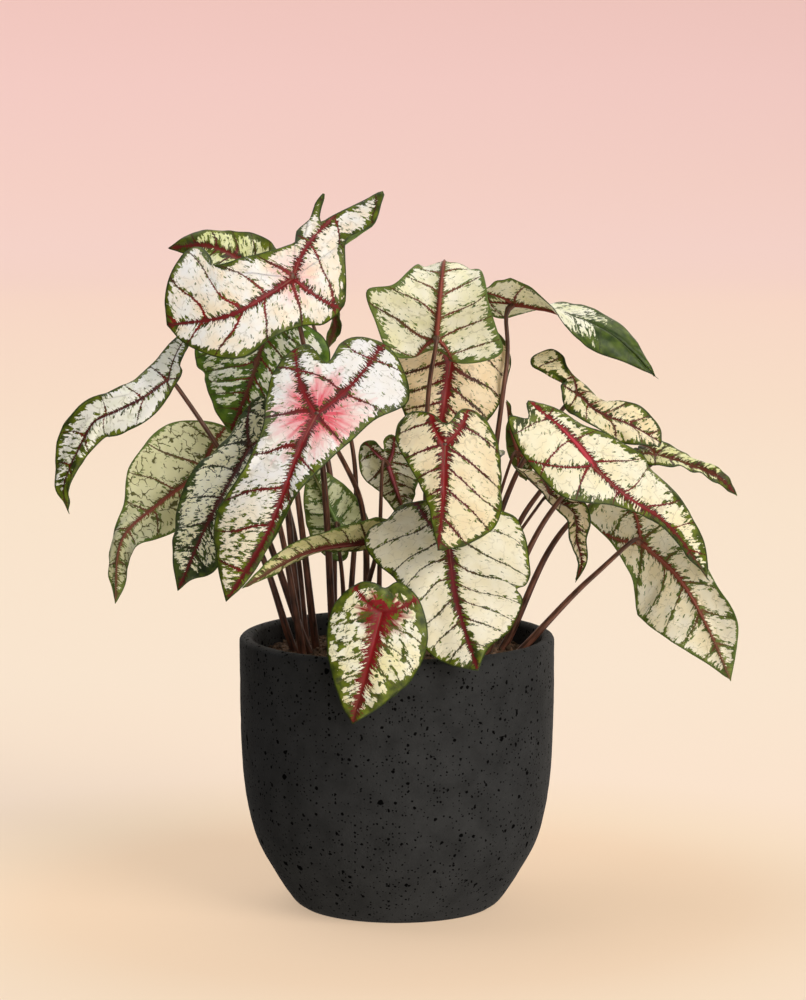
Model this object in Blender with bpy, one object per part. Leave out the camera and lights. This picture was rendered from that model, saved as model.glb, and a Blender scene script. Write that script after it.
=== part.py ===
"""Potted caladium: a cast cement planter, its soil, and 28 waved heart-shaped leaves on stalks.

The frame is in metres with +Z up. The origin is the middle of the pot's foot, and the front is -Y.
Places in the leaf table are in millimetres, and outlines are shares of each blade's length.
"""
from math import cos, pi, radians, sin, tau

import bmesh
import bpy
import numpy as np

MM = 0.001
POT_RADIUS = 0.085
POT_HEIGHT = 0.1475
POT_WALL = 0.007
POT_FOOT_RADIUS = 0.052
POT_FLOOR = 0.012
LIP_RADIUS = 0.003
SOIL_LEVEL = 0.138
SOIL_MOUND = 0.003
BLADE_THICKNESS = 0.0007
STALK_TOP_RADIUS = 0.0013
STALK_BASE_RADIUS = 0.0026
STALK_DEPTH = 0.010
GAP = 0.0003

# Radius and height up the pot's outer wall: rounded below, nearly straight above
POT_WALL_PLACES = ((POT_FOOT_RADIUS, 0), (0.0575, 0.0045), (0.0675, 0.0200), (0.0770, 0.0390),
                   (0.0829, 0.0690), (0.0847, 0.1050), (POT_RADIUS, POT_HEIGHT - LIP_RADIUS))
# The slope between the pot's inner floor and wall
POT_CORNER_WIDTH = 0.012
POT_CORNER_HEIGHT = 0.006

# A stalk rises straight out of the soil, ends just clear of the blade, and bends over in a short neck.
# One with no places of its own is this share of the way to its neck at its middle, so it leans out late.
STALK_RISE = 0.007
STALK_TOP_GAP = 0.0004
NECK_DROP = 0.007
NECK_BACK = 0.002
MIDDLE_SHARE = (0.3, 0.3, 0.55)

POT_SIDES = 36
POT_WALL_ROWS = 11
STALK_SIDES = 6
STALK_RINGS = 11
HOLE_SIDES = 8
MIDRIB_PLACES = 61
SAMPLES = 400
SAMPLES_PER_PLACE = 40
MERGE = 0.00001
POT_SMOOTH = 40
BLADE_SMOOTH = 60
STALK_SMOOTH = 70

# Shares along an arc at which its direction is averaged
ARC = np.linspace(0, 1, 13)[:, None]

# A plain caladium outline, (along, across) from the sinus round the right side, the tip and the left side
HEART_RIGHT = ((-0.24, 0.0), (-0.35, 0.03), (-0.43, 0.11), (-0.41, 0.22), (-0.24, 0.35), (0.05, 0.40),
               (0.36, 0.33), (0.63, 0.20), (0.84, 0.08))
HEART = HEART_RIGHT + ((1.0, 0.0),) + tuple((u, -v) for u, v in HEART_RIGHT[:0:-1])
# A broader one, which narrows only near its tip
SHIELD_RIGHT = ((-0.17, 0.0), (-0.25, 0.06), (-0.3, 0.18), (-0.2, 0.33), (0.05, 0.40), (0.36, 0.37),
                (0.62, 0.28), (0.82, 0.15))
SHIELD = SHIELD_RIGHT + ((1.0, 0.0),) + tuple((u, -v) for u, v in SHIELD_RIGHT[:0:-1])
HEART_REAR = 0.43
HEART_HALF_WIDTH = 0.40
# How far from the midrib a lobe has its own bend in full
LOBE_BLEND = 0.15

# What a leaf has where its entry says nothing else. Pairs are left and right, seen on the upper side with
# the tip up, in degrees. wave is its height in mm, its count and its start as a share of a turn.
PLAIN = dict(rim=HEART, wide=1.0, lobe=1.0, bend=(10, 10), fold=(12, 12), fold_tip=(0, 0), curl=(20, 20),
             wave=(2.0, 5, 0.0), tip_face=None, around=22, rings=4, via=(), slim=1.0)

# midrib runs from the knuckle, where the stalk meets the blade, to the tip. face is the way the upper side
# looks at the knuckle and tip_face at the tip. root is where the stalk stands in the soil, and via the
# places that it passes.
LEAVES = {
    "01": dict(
        midrib=((-55, -20, 342), (-68, -30, 334), (-90, -36, 323), (-122, -30, 318)),
        face=(0.1, -1, 0.35), bend=(-18, -12), fold=(0, 0), curl=(20, 15), wave=(2, 5, 0.1), around=36,
        rim=((-0.44, 0.21), (-0.5, 0.28), (-0.6, 0.36), (-0.5, 0.34), (-0.42, 0.29), (-0.28, 0.27),
             (-0.22, 0.21), (-0.14, 0.22), (0.05, 0.27), (0.3, 0.33), (0.56, 0.42), (0.8, 0.58),
             (0.93, 0.42), (1, 0.15), (1, 0), (0.87, -0.15), (0.58, -0.3), (0.41, -0.27), (0.19, -0.3),
             (0, -0.39), (-0.19, -0.37), (-0.28, -0.28), (-0.4, -0.1), (-0.5, -0.01), (-0.71, -0.03),
             (-0.85, 0.05), (-0.91, 0.11), (-0.73, 0.165), (-0.55, 0.2)),
        root=(-34, 2)),
    "02": dict(
        midrib=((-73, 32, 336), (-86, 22, 349), (-103, 22, 356), (-124, 28, 354)),
        face=(0.2, -1, 0.3), wide=0.85, fold=(5, -8), root=(-52, 14), via=((-60, 13, 215), (-67, 39, 300))),
    "03": dict(
        midrib=((-122, -8, 287), (-136, -12, 277), (-150, -12, 270), (-162, -10, 264), (-170, -7, 250),
                (-176, -4, 237), (-179, -2, 226), (-176, 0, 213)),
        face=(-0.4, -1, 0.3), tip_face=(-0.4, -1, 0), bend=(0, 0), fold=(-5, 0), curl=(30, 30),
        wave=(1.5, 4, 0),
        rim=((-0.1, 0.03), (-0.23, 0.1), (-0.26, 0.16), (-0.12, 0.16), (0, 0.14), (0.17, 0.12), (0.33, 0.11),
             (0.48, 0.12), (0.62, 0.14), (0.76, 0.1), (0.9, 0.04), (1, 0), (0.9, -0.03), (0.76, -0.04),
             (0.62, -0.06), (0.48, -0.1), (0.33, -0.12), (0.17, -0.11), (0, -0.05), (-0.08, -0.01)),
        root=(-48, 2), via=((-73, 0, 210), (-97, -2, 251))),
    "04": dict(
        midrib=((-72, 12, 305), (-80, 5, 280), (-90, 7, 256)),
        face=(-0.2, -1, 0.3), rim=SHIELD, wide=1.8, fold=(5, 5), root=(-44, 10), via=((-52, 6, 215),)),
    "05": dict(
        midrib=((-42, -60, 274), (-51, -72, 256), (-67, -84, 215), (-89, -82, 178)),
        face=(-0.25, -1, 0.3), bend=(12, 12), fold=(0, 5), curl=(30, 20), wave=(2, 5, 0), around=30,
        rim=((-0.28, 0.07), (-0.33, 0.19), (-0.23, 0.27), (-0.06, 0.28), (0.16, 0.21), (0.33, 0.21),
             (0.55, 0.27), (0.72, 0.26), (0.86, 0.14), (1, 0), (0.85, -0.03), (0.6, -0.04), (0.4, -0.07),
             (0.23, -0.14), (0.07, -0.2), (-0.09, -0.26), (-0.25, -0.36), (-0.4, -0.27), (-0.5, -0.14),
             (-0.5, -0.01), (-0.42, 0.06)),
        root=(-16, -2), via=((-13, -2, 188), (-20, -16, 225))),
    "06": dict(
        midrib=((-78, -25, 253), (-99, -42, 216), (-116, -45, 178)),
        face=(-0.5, -1, 0.3), fold=(5, 5),
        rim=((-0.23, 0), (-0.32, 0.08), (-0.2, 0.15), (0.03, 0.19), (0.28, 0.25), (0.54, 0.25),
             (0.75, 0.16), (1, 0), (0.9, -0.05), (0.79, -0.18), (0.56, -0.2), (0.14, -0.22),
             (-0.18, -0.17), (-0.26, -0.08)),
        root=(-51, -6), via=((-61, -10, 200),)),
    "07": dict(
        midrib=((-104, 5, 236), (-129, 0, 218), (-148, -5, 199), (-152, 0, 164)),
        face=(0.1, 1, 0.25), tip_face=(0.9, 0.4, 0.2), fold=(5, 5), curl=(15, 15),
        rim=((-0.2, 0), (-0.25, 0.1), (-0.1, 0.3), (0.1, 0.3), (0.3, 0.2), (0.6, 0.12), (0.85, 0.06), (1, 0),
             (0.85, -0.06), (0.63, -0.09), (0.48, -0.12), (0.35, -0.25), (0.12, -0.34), (-0.07, -0.3),
             (-0.24, -0.15), (-0.25, -0.04)),
        root=(-56, 5), via=((-66, 8, 180),)),
    "08": dict(
        midrib=((-15, -32, 203), (-49, -42, 198), (-82, -48, 180)),
        face=(0.1, 0.6, 0.9), wide=0.6, lobe=0.5, fold=(15, 10), curl=(0, 0), wave=(1, 4, 0),
        root=(-20, -20)),
    "09": dict(
        midrib=((25, -80, 260), (24, -92, 233), (21, -88, 206)),
        face=(0.1, -1, 0.25), bend=(8, 8), fold=(0, -5), curl=(25, 30), wave=(1.5, 5, 0),
        rim=((-0.21, -0.01), (-0.3, 0.13), (-0.33, 0.37), (-0.14, 0.5), (0.16, 0.34), (0.57, 0.14), (1, 0),
             (0.93, -0.3), (0.72, -0.54), (0.28, -0.6), (-0.04, -0.53), (-0.33, -0.35), (-0.38, -0.16)),
        root=(22, -22), via=((22, -34, 200), (23, -52, 238))),
    "10": dict(
        midrib=((21, 0, 308), (23, -4, 331), (25, 8, 347), (27, 38, 342)),
        face=(0, 1, 0.1), tip_face=(0, 0.1, -1), fold=(5, 5), curl=(10, 10), wave=(2, 5, 0.2),
        rim=((-0.1, 0), (-0.17, 0.17), (-0.13, 0.33), (0.08, 0.44), (0.3, 0.52), (0.36, 0.34), (0.48, 0.24),
             (0.62, 0.17), (0.8, 0.1), (1, 0), (0.8, -0.16), (0.62, -0.25), (0.47, -0.3), (0.3, -0.35),
             (0.1, -0.42), (-0.05, -0.48), (-0.13, -0.38), (-0.17, -0.16)),
        root=(16, 2), via=((16, 6, 262),)),
    "11": dict(
        midrib=((29, 25, 293), (25, 15, 268), (18, 17, 234)),
        face=(0.1, -1, 0.4), wide=1.4, fold=(0, 0), root=(20, 18)),
    "12": dict(
        midrib=((63, 35, 324), (88, 30, 319), (115, 26, 307), (140, 25, 282)),
        face=(0.1, 0.4, 0.95), tip_face=(0.3, -1, 0.3), wide=0.8, lobe=0.5, fold=(10, 10), wave=(4, 4, 0.3),
        root=(40, 16), via=((57, 25, 272), (60, 30, 298))),
    "13": dict(
        midrib=((97, 15, 277), (109, 8, 267), (126, 6, 261), (144, 8, 252)),
        face=(0.2, -0.7, 0.9), bend=(3, 3), fold=(5, 5), wave=(3, 5, 0.2), around=28,
        rim=((-0.14, 0.02), (-0.12, 0.12), (0.1, 0.22), (0.4, 0.25), (0.7, 0.24), (0.93, 0.18), (1, 0),
             (0.93, -0.18), (0.7, -0.23), (0.4, -0.22), (0.1, -0.18), (-0.1, -0.15), (-0.27, -0.13),
             (-0.4, -0.2), (-0.55, -0.18), (-0.61, -0.04), (-0.53, 0.08), (-0.37, 0.05), (-0.27, 0)),
        root=(34, 6),
        via=((62, 18, 226), (80, 23, 254))),
    "14": dict(
        midrib=((103, -45, 245), (121, -48, 229), (140, -43, 216), (154, -38, 200), (166, -34, 181)),
        face=(0.3, -1, 0.6), bend=(0, 0), fold=(-5, 0), fold_tip=(0, -60), curl=(20, 25), wave=(2, 5, 0.2),
        around=28,
        rim=((-0.45, 0.06), (-0.54, 0.13), (-0.43, 0.2), (-0.26, 0.25), (-0.02, 0.27), (0.12, 0.2),
             (0.24, 0.09), (0.4, 0.04), (0.75, 0.03), (1, 0), (0.92, -0.08), (0.8, -0.12), (0.66, -0.15),
             (0.5, -0.23), (0.35, -0.32), (0.17, -0.32), (-0.13, -0.2), (-0.38, -0.14), (-0.52, -0.02)),
        root=(48, -10), via=((73, -12, 200), (88, -26, 226))),
    "15": dict(
        midrib=((131, -10, 199), (151, -22, 181), (166, -26, 155), (179, -20, 124)),
        face=(0.3, 1, 0.2), fold=(5, 5), curl=(10, 10), wave=(2, 4, 0.3),
        rim=((-0.36, 0), (-0.4, 0.1), (-0.38, 0.22), (-0.2, 0.28), (0.05, 0.22), (0.41, 0.17), (0.62, 0.19),
             (0.78, 0.12), (1, 0), (0.85, -0.09), (0.7, -0.19), (0.44, -0.33), (0.21, -0.34), (0.05, -0.19),
             (-0.14, -0.13), (-0.33, -0.13), (-0.38, -0.06)),
        root=(66, -4), via=((80, -5, 158), (104, -8, 179))),
    "16": dict(
        midrib=((140, 18, 243), (158, 12, 238), (173, 9, 232), (184, 12, 221)),
        face=(0.2, -0.5, 1), wide=0.55, lobe=0.5, fold=(10, 10), wave=(2, 4, 0), root=(58, 14),
        via=((77, 12, 180), (93, 14, 206))),
    "17": dict(
        midrib=((82, 0, 223), (95, -5, 213), (96, -6, 200), (99, -5, 188), (96, -4, 176)),
        face=(0.9, -0.5, 0.3), tip_face=(-0.3, -1, 0.1), wide=0.45, fold=(30, 30), wave=(2, 3, 0),
        root=(44, 4), around=16, rings=3, slim=0.7),
    "18": dict(
        midrib=((27, -62, 208), (31, -84, 179), (42, -97, 144)),
        face=(0.05, -1, 0.3), fold=(0, 0), curl=(15, 15), wave=(2, 6, 0.1), around=28,
        rim=((-0.2, -0.03), (-0.31, 0.07), (-0.35, 0.3), (-0.24, 0.42), (-0.2, 0.52), (-0.08, 0.58),
             (0.1, 0.52), (0.25, 0.4), (0.5, 0.32), (0.73, 0.3), (0.88, 0.19), (1, 0), (0.87, -0.12),
             (0.78, -0.32), (0.6, -0.45), (0.46, -0.43), (0.4, -0.51), (0.2, -0.58), (0, -0.55),
             (-0.19, -0.47), (-0.24, -0.25)),
        root=(30, -34)),
    "19": dict(
        midrib=((-8, -98, 175), (-15, -103, 147), (-23, -96, 116)),
        face=(-0.05, -1, 0.15), fold=(5, 5), wave=(1, 4, 0),
        rim=((-0.21, 0.02), (-0.23, 0.12), (-0.19, 0.25), (0.03, 0.41), (0.38, 0.38), (0.82, 0.16), (1, 0),
             (0.81, -0.15), (0.46, -0.39), (0.14, -0.43), (-0.16, -0.3), (-0.29, -0.09)),
        root=(-26, -30), via=((-21, -46, 172), (-13, -74, 185))),
    "20": dict(midrib=((-5, 20, 238), (5, 30, 205)), face=(0.3, 0.8, 0.2), wide=1.2, root=(-10, 10),
               around=18, rings=3, slim=0.8),
    "21": dict(midrib=((-32, 20, 204), (-50, 32, 240)), face=(0, 1, 0.2), root=(-28, 12),
               around=18, rings=3, slim=0.8),
    "22": dict(midrib=((67, 40, 240), (63, 45, 253), (60, 42, 270)), face=(0.5, 0.8, 0.2), wide=0.6,
               fold=(20, 20), wave=(2, 3, 0), root=(44, 30), around=16, rings=3, slim=0.7),
    "23": dict(midrib=((-43, 45, 324), (-34, 50, 313), (-38, 50, 297)), face=(0.6, 0.5, 0.5), wide=0.7,
               root=(-26, 26), via=((-21, 38, 230),), around=16, rings=3, slim=0.8),
    "24": dict(midrib=((-74, 74, 316), (-79, 102, 308), (-84, 128, 280)), face=(0, 0.5, 1), wide=0.95,
               root=(-34, 38), via=((-40, 46, 245),)),
    "25": dict(midrib=((20, 62, 319), (21, 94, 314), (22, 124, 284)), face=(0, 0.5, 1), wide=0.9,
               root=(6, 32), via=((4, 36, 240),)),
    "26": dict(midrib=((-71, 55, 246), (-78, 85, 237), (-86, 112, 202)), face=(-0.3, 0.6, 0.8), wide=0.8,
               root=(-50, 34)),
    "27": dict(midrib=((100, 58, 250), (110, 86, 243), (120, 108, 216)), face=(0.3, 0.5, 1), wide=0.8,
               root=(48, 38)),
    "28": dict(midrib=((34, 64, 235), (35, 94, 229), (35, 118, 192)), face=(0, 0.6, 0.8), wide=0.85,
               root=(28, 36)),
}


def curve_through(points, places):
    """Catmull-Rom curve through rows of points, at places counted in points from the second row."""
    first = np.minimum(places.astype(int), len(points) - 4)
    part = (places - first)[:, None]
    a, b, c, d = (points[first + k] for k in range(4))
    return 0.5 * (2 * b + (c - a) * part + (2 * a - 5 * b + 4 * c - d) * part**2
                  + (3 * b - a - 3 * c + d) * part**3)


def spaced_evenly(dense, count):
    """count places spaced evenly along a dense line, its two ends among them, and the line's length."""
    steps = np.linalg.norm(np.diff(dense, axis=0), axis=1)
    run = np.concatenate([[0], np.cumsum(steps)])
    wanted = np.linspace(0, run[-1], count)
    columns = [np.interp(wanted, run, dense[:, k]) for k in range(dense.shape[1])]
    return np.stack(columns, axis=1), run[-1]


def smooth_line(points, count):
    """A smooth line through all the points, resampled evenly."""
    rows = np.array(points, float)
    ends = np.vstack([2 * rows[0] - rows[1], rows, 2 * rows[-1] - rows[-2]])
    places = np.linspace(0, len(rows) - 1, SAMPLES_PER_PLACE * len(rows))
    return spaced_evenly(curve_through(ends, places), count)


def smooth_outline(rim, half):
    """The outline at 2 * half places, from the sinus by the right side to the pointed tip, and back."""
    rows = np.array(rim, float)
    tip = rim.index((1, 0))
    right = np.vstack([rows[-1], rows[:tip + 1], 2 * rows[tip] - rows[tip - 1]])
    left = np.vstack([2 * rows[tip] - rows[tip + 1], rows[tip:], rows[0], rows[1]])
    sides = []
    for loop in (right, left):
        spans = len(loop) - 3
        places = np.linspace(0, spans, SAMPLES_PER_PLACE * spans)
        side, _ = spaced_evenly(curve_through(loop, places), half + 1)
        sides.append(side[:-1])
    return np.vstack(sides)


def unit(vectors):
    return vectors / np.linalg.norm(vectors, axis=-1, keepdims=True)


class Midrib:
    """The midrib's smooth line with three directions along it: ahead, across to the right, and up."""

    def __init__(self, leaf):
        self.share = np.linspace(0, 1, MIDRIB_PLACES)
        self.line, self.length = smooth_line(np.array(leaf["midrib"]) * MM, len(self.share))
        self.ahead = unit(np.gradient(self.line, axis=0))
        first = unit(np.array(leaf["face"], float))
        last = unit(np.array(leaf["tip_face"] or leaf["face"], float))
        up = first * (1 - self.share[:, None]) + last * self.share[:, None]
        self.up = unit(up - self.ahead * (up * self.ahead).sum(axis=1, keepdims=True))
        self.across = np.cross(self.ahead, self.up)

    def at(self, field, along):
        """A field's values at shares along the midrib."""
        return np.stack([np.interp(along, self.share, field[:, k]) for k in range(3)], axis=1)


def mean_along(values):
    """The mean over an arc's steps."""
    return (values[1:] + values[:-1]).mean(axis=0) / 2


def blade_points(leaf, midrib, along, across, ring, turn):
    """Places on a blade's middle surface.

    Across the blade the surface is an arc: it leaves the midrib at the fold angle and turns down by the
    curl. The lobes behind the knuckle bend down from the line of the midrib. The wave grows towards the
    margin, ring being 0 at the knuckle and 1 there, and turn is the place round the outline.
    """
    right = (across >= 0).astype(int)

    def pair(name):
        return np.radians(np.array(leaf[name], float)[right])

    reach = np.abs(across)
    forward = np.clip(along, 0, 1)
    bow = reach / HEART_HALF_WIDTH
    fold = pair("fold") + forward**2 * pair("fold_tip")
    angle = fold - pair("curl") * bow * ARC
    slope = fold - pair("curl") * bow
    height, count, start = leaf["wave"]
    wave = height * MM / midrib.length * ring**2.5 * np.sin(tau * (count * turn + start))
    sign = np.where(right, 1, -1)
    sideways = sign * (mean_along(np.cos(angle)) * reach - wave * np.sin(slope))
    upward = mean_along(np.sin(angle)) * reach + wave * np.cos(slope)
    rear = np.clip(-along, 0, None) / HEART_REAR
    beside = np.clip(reach / LOBE_BLEND, 0, 1)
    bend = np.radians(np.mean(leaf["bend"])) * (1 - beside) + pair("bend") * beside
    bends = bend * (rear * ARC) ** 1.5
    drop = bend * rear**1.5
    back = HEART_REAR * rear * mean_along(np.cos(bends))
    down = HEART_REAR * rear * mean_along(np.sin(bends))
    ahead, across_way, up = (midrib.at(field, forward) for field in (midrib.ahead, midrib.across, midrib.up))
    tilted_up = up * np.cos(drop)[:, None] - ahead * np.sin(drop)[:, None]
    offset = (across_way * sideways[:, None] + tilted_up * upward[:, None]
              - ahead * back[:, None] - up * down[:, None])
    return midrib.at(midrib.line, forward) + offset * midrib.length


def blade_grid(leaf, midrib):
    """The middle surface as a fan round the knuckle and rings out to the margin, and its triangles."""
    outline = smooth_outline(leaf["rim"], leaf["around"] // 2)
    outline[:, 1] *= leaf["wide"]
    outline[:, 0] = np.where(outline[:, 0] < 0, outline[:, 0] * leaf["lobe"], outline[:, 0])
    count = len(outline)
    rings = np.arange(1, leaf["rings"] + 1) / leaf["rings"]
    along = np.concatenate([[0], np.outer(rings, outline[:, 0]).ravel()])
    across = np.concatenate([[0], np.outer(rings, outline[:, 1]).ravel()])
    ring = np.concatenate([[0], np.repeat(rings, count)])
    turn = np.concatenate([[0], np.tile(np.arange(count) / count, len(rings))])
    points = blade_points(leaf, midrib, along, across, ring, turn)
    here = np.arange(count)
    after = (here + 1) % count
    triangles = [np.stack([0 * here, 1 + here, 1 + after], axis=1)]
    for k in range(len(rings) - 1):
        inner, outer = 1 + k * count, 1 + (k + 1) * count
        triangles.append(np.stack([inner + here, outer + here, outer + after], axis=1))
        triangles.append(np.stack([inner + here, outer + after, inner + after], axis=1))
    return points, np.vstack(triangles), count


def point_normals(points, triangles):
    """The unit normal at each point, the mean of its triangles' normals by area."""
    corner = points[triangles]
    facing = np.cross(corner[:, 1] - corner[:, 0], corner[:, 2] - corner[:, 0])
    normals = np.zeros_like(points)
    for k in range(3):
        np.add.at(normals, triangles[:, k], facing)
    return unit(normals)


def blade_solid(leaf, midrib):
    """A blade of even thickness: its two faces, split alike, and a band round the margin."""
    points, triangles, count = blade_grid(leaf, midrib)
    offset = point_normals(points, triangles) * BLADE_THICKNESS / 2
    total = len(points)
    rim = total - count + np.arange(count)
    rim_after = np.roll(rim, -1)
    band = np.vstack([np.stack([rim, rim + total, rim_after + total], axis=1),
                      np.stack([rim, rim_after + total, rim_after], axis=1)])
    faces = np.vstack([triangles, triangles[:, ::-1] + total, band])
    return np.vstack([points + offset, points - offset]), faces


def stalk_line(leaf, midrib):
    """The stalk's path: up out of the soil, past its own places, to just under the knuckle."""
    root = np.array([*leaf["root"], 0]) * MM
    deep, surface, rise = (root + (0, 0, SOIL_LEVEL + lift) for lift in (-STALK_DEPTH, 0, STALK_RISE))
    under = -midrib.up[0]
    end = midrib.line[0] + under * (BLADE_THICKNESS / 2 + STALK_TOP_GAP)
    neck = end + under * NECK_DROP - midrib.ahead[0] * NECK_BACK
    via = [np.array(place) * MM for place in leaf["via"]] or [surface + (neck - surface) * MIDDLE_SHARE]
    line, _ = smooth_line([deep, surface, rise, *via, neck, end], SAMPLES)
    free, _ = spaced_evenly(line[line[:, 2] > SOIL_LEVEL], STALK_RINGS - 1)
    return np.vstack([line[:1], free]), under


def stalk_solid(leaf, midrib):
    """A tapered tube with flat ends; its top lies along the blade's underside."""
    line, under = stalk_line(leaf, midrib)
    base_share = np.linspace(1, 0, STALK_RINGS) ** 1.5
    radius = (STALK_BASE_RADIUS * base_share + STALK_TOP_RADIUS * (1 - base_share)) * leaf["slim"]
    ahead = unit(np.gradient(line, axis=0))
    ahead[:2] = (0, 0, 1)
    ahead[-1] = -under
    side = np.array([1.0, 0, 0])
    angles = tau * np.arange(STALK_SIDES) / STALK_SIDES
    points = []
    for place, way, size in zip(line, ahead, radius):
        side = unit(side - way * (side @ way))
        other = np.cross(way, side)
        points.append(place + size * (np.outer(np.cos(angles), side) + np.outer(np.sin(angles), other)))
    points = np.vstack(points)
    here = np.arange(STALK_SIDES)
    after = (here + 1) % STALK_SIDES
    faces = []
    for k in range(STALK_RINGS - 1):
        low, high = k * STALK_SIDES, (k + 1) * STALK_SIDES
        faces.append(np.stack([low + here, low + after, high + after], axis=1))
        faces.append(np.stack([low + here, high + after, high + here], axis=1))
    fan = np.array([[0, k, k + 1] for k in range(1, STALK_SIDES - 1)])
    faces.append(fan[:, ::-1])
    faces.append(fan + (STALK_RINGS - 1) * STALK_SIDES)
    return points, np.vstack(faces)


def clear_scene():
    """Remove the objects that the scene starts with."""
    for thing in list(bpy.data.objects):
        bpy.data.objects.remove(thing, do_unlink=True)


def make_material(name, colour, roughness, metallic=0.0):
    material = bpy.data.materials.new(name)
    material.use_nodes = True
    shader = material.node_tree.nodes["Principled BSDF"]
    shader.inputs["Base Color"].default_value = (*colour, 1)
    shader.inputs["Roughness"].default_value = roughness
    shader.inputs["Metallic"].default_value = metallic
    return material


def add_object(name, mesh, material, smooth_angle):
    thing = bpy.data.objects.new(name, mesh)
    mesh.materials.append(material)
    mesh.shade_smooth()
    mesh.set_sharp_from_angle(angle=radians(smooth_angle))
    bpy.context.collection.objects.link(thing)
    return thing


def mesh_from(name, points, faces):
    mesh = bpy.data.meshes.new(name)
    mesh.from_pydata(points.tolist(), [], faces.tolist())
    mesh.update()
    return mesh


def turned(name, profile, sides):
    """A solid turned round +Z from a profile of (radius, height) pairs that begins and ends on the axis."""
    shape = bmesh.new()
    corners = [shape.verts.new((radius, 0, height)) for radius, height in profile]
    edges = [shape.edges.new(pair) for pair in zip(corners, corners[1:])]
    bmesh.ops.spin(shape, geom=corners + edges, cent=(0, 0, 0), axis=(0, 0, 1), angle=tau, steps=sides,
                   use_merge=True)
    bmesh.ops.remove_doubles(shape, verts=shape.verts, dist=MERGE)
    bmesh.ops.recalc_face_normals(shape, faces=shape.faces)
    bmesh.ops.triangulate(shape, faces=[face for face in shape.faces if len(face.verts) > 3])
    mesh = bpy.data.meshes.new(name)
    shape.to_mesh(mesh)
    shape.free()
    return mesh


def pot_wall_line():
    """The outer wall from the foot's rim to the lip."""
    return smooth_line(POT_WALL_PLACES, POT_WALL_ROWS)[0]


def pot_inside_line():
    """The cavity from its floor's rim up to the lip, one wall inside the outer surface."""
    outer = pot_wall_line()
    inner = outer[outer[:, 1] > POT_FLOOR + POT_CORNER_HEIGHT] - (POT_WALL, 0)
    return np.vstack([[inner[0, 0] - POT_CORNER_WIDTH, POT_FLOOR], inner])


def lip_line():
    """The rounded lip, from its outer side over the top to its inner side."""
    half = POT_WALL / 2
    middle = POT_RADIUS - half
    level = POT_HEIGHT - LIP_RADIUS
    angles = (pi / 4, pi / 2, 3 * pi / 4)
    return [(middle + half * cos(angle), level + LIP_RADIUS * sin(angle)) for angle in angles]


def make_pot(material):
    profile = [(0, 0), *pot_wall_line(), *lip_line(), *pot_inside_line()[::-1], (0, POT_FLOOR)]
    return add_object("pot", turned("pot", profile, POT_SIDES), material, POT_SMOOTH)


def make_soil(material, cutter):
    """The soil fills the pot, with a low mound on top, and the stalks stand in plain holes in it."""
    wall = pot_inside_line() + (-GAP, GAP)
    edge_height = SOIL_LEVEL - SOIL_MOUND
    edge_radius = np.interp(edge_height, wall[:, 1], wall[:, 0])
    below = wall[wall[:, 1] < edge_height - GAP]
    mound = [(edge_radius * share, SOIL_LEVEL - SOIL_MOUND * share**2) for share in (1, 0.7, 0.4)]
    profile = [(0, POT_FLOOR + GAP), *below, *mound, (0, SOIL_LEVEL)]
    soil = add_object("soil", turned("soil", profile, POT_SIDES), material, POT_SMOOTH)
    cut = soil.modifiers.new("stalk holes", "BOOLEAN")
    cut.operation = "DIFFERENCE"
    cut.object = cutter
    return soil


def make_hole_cutter():
    """One upright prism for each stalk, all in one hidden mesh."""
    shape = bmesh.new()
    for leaf in LEAVES.values():
        full = {**PLAIN, **leaf}
        radius = (STALK_BASE_RADIUS * full["slim"] + GAP) / cos(pi / HOLE_SIDES)
        made = bmesh.ops.create_cone(shape, cap_ends=True, segments=HOLE_SIDES, radius1=radius,
                                     radius2=radius, depth=2 * (STALK_DEPTH + GAP))
        x, y = full["root"]
        bmesh.ops.translate(shape, verts=made["verts"], vec=(x * MM, y * MM, SOIL_LEVEL))
    mesh = bpy.data.meshes.new("stalk holes")
    shape.to_mesh(mesh)
    shape.free()
    cutter = bpy.data.objects.new("stalk holes", mesh)
    bpy.context.collection.objects.link(cutter)
    cutter.hide_render = True
    cutter.display_type = "WIRE"
    return cutter


def make_leaf(number, leaf, blade_material, stalk_material):
    """One blade and the stalk that carries it."""
    midrib = Midrib(leaf)
    points, faces = blade_solid(leaf, midrib)
    add_object(f"blade_{number}", mesh_from(f"blade_{number}", points, faces), blade_material, BLADE_SMOOTH)
    points, faces = stalk_solid(leaf, midrib)
    add_object(f"stalk_{number}", mesh_from(f"stalk_{number}", points, faces), stalk_material, STALK_SMOOTH)


def build():
    clear_scene()
    cement = make_material("charcoal cast cement", (0.045, 0.045, 0.047), 0.85)
    earth = make_material("dark potting mix", (0.035, 0.022, 0.014), 0.95)
    cream_leaf = make_material("cream caladium blade", (0.78, 0.74, 0.55), 0.5)
    stalk = make_material("brown-red caladium stalk", (0.12, 0.045, 0.03), 0.5)
    make_pot(cement)
    make_soil(earth, make_hole_cutter())
    for number, leaf in LEAVES.items():
        make_leaf(number, {**PLAIN, **leaf}, cream_leaf, stalk)


build()
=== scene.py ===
"""The looks of the potted caladium: cast cement pot, potting mix, brown-red stalks and painted leaves.

The frame is in metres with +Z up, and the front is -Y. Each blade and stalk follows the same lines as its
solid, worked out again at a finer pitch, with veins, quilting, ruffles and the mottled colours added.
"""
from functools import partial
from math import pi, radians, tau

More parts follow.
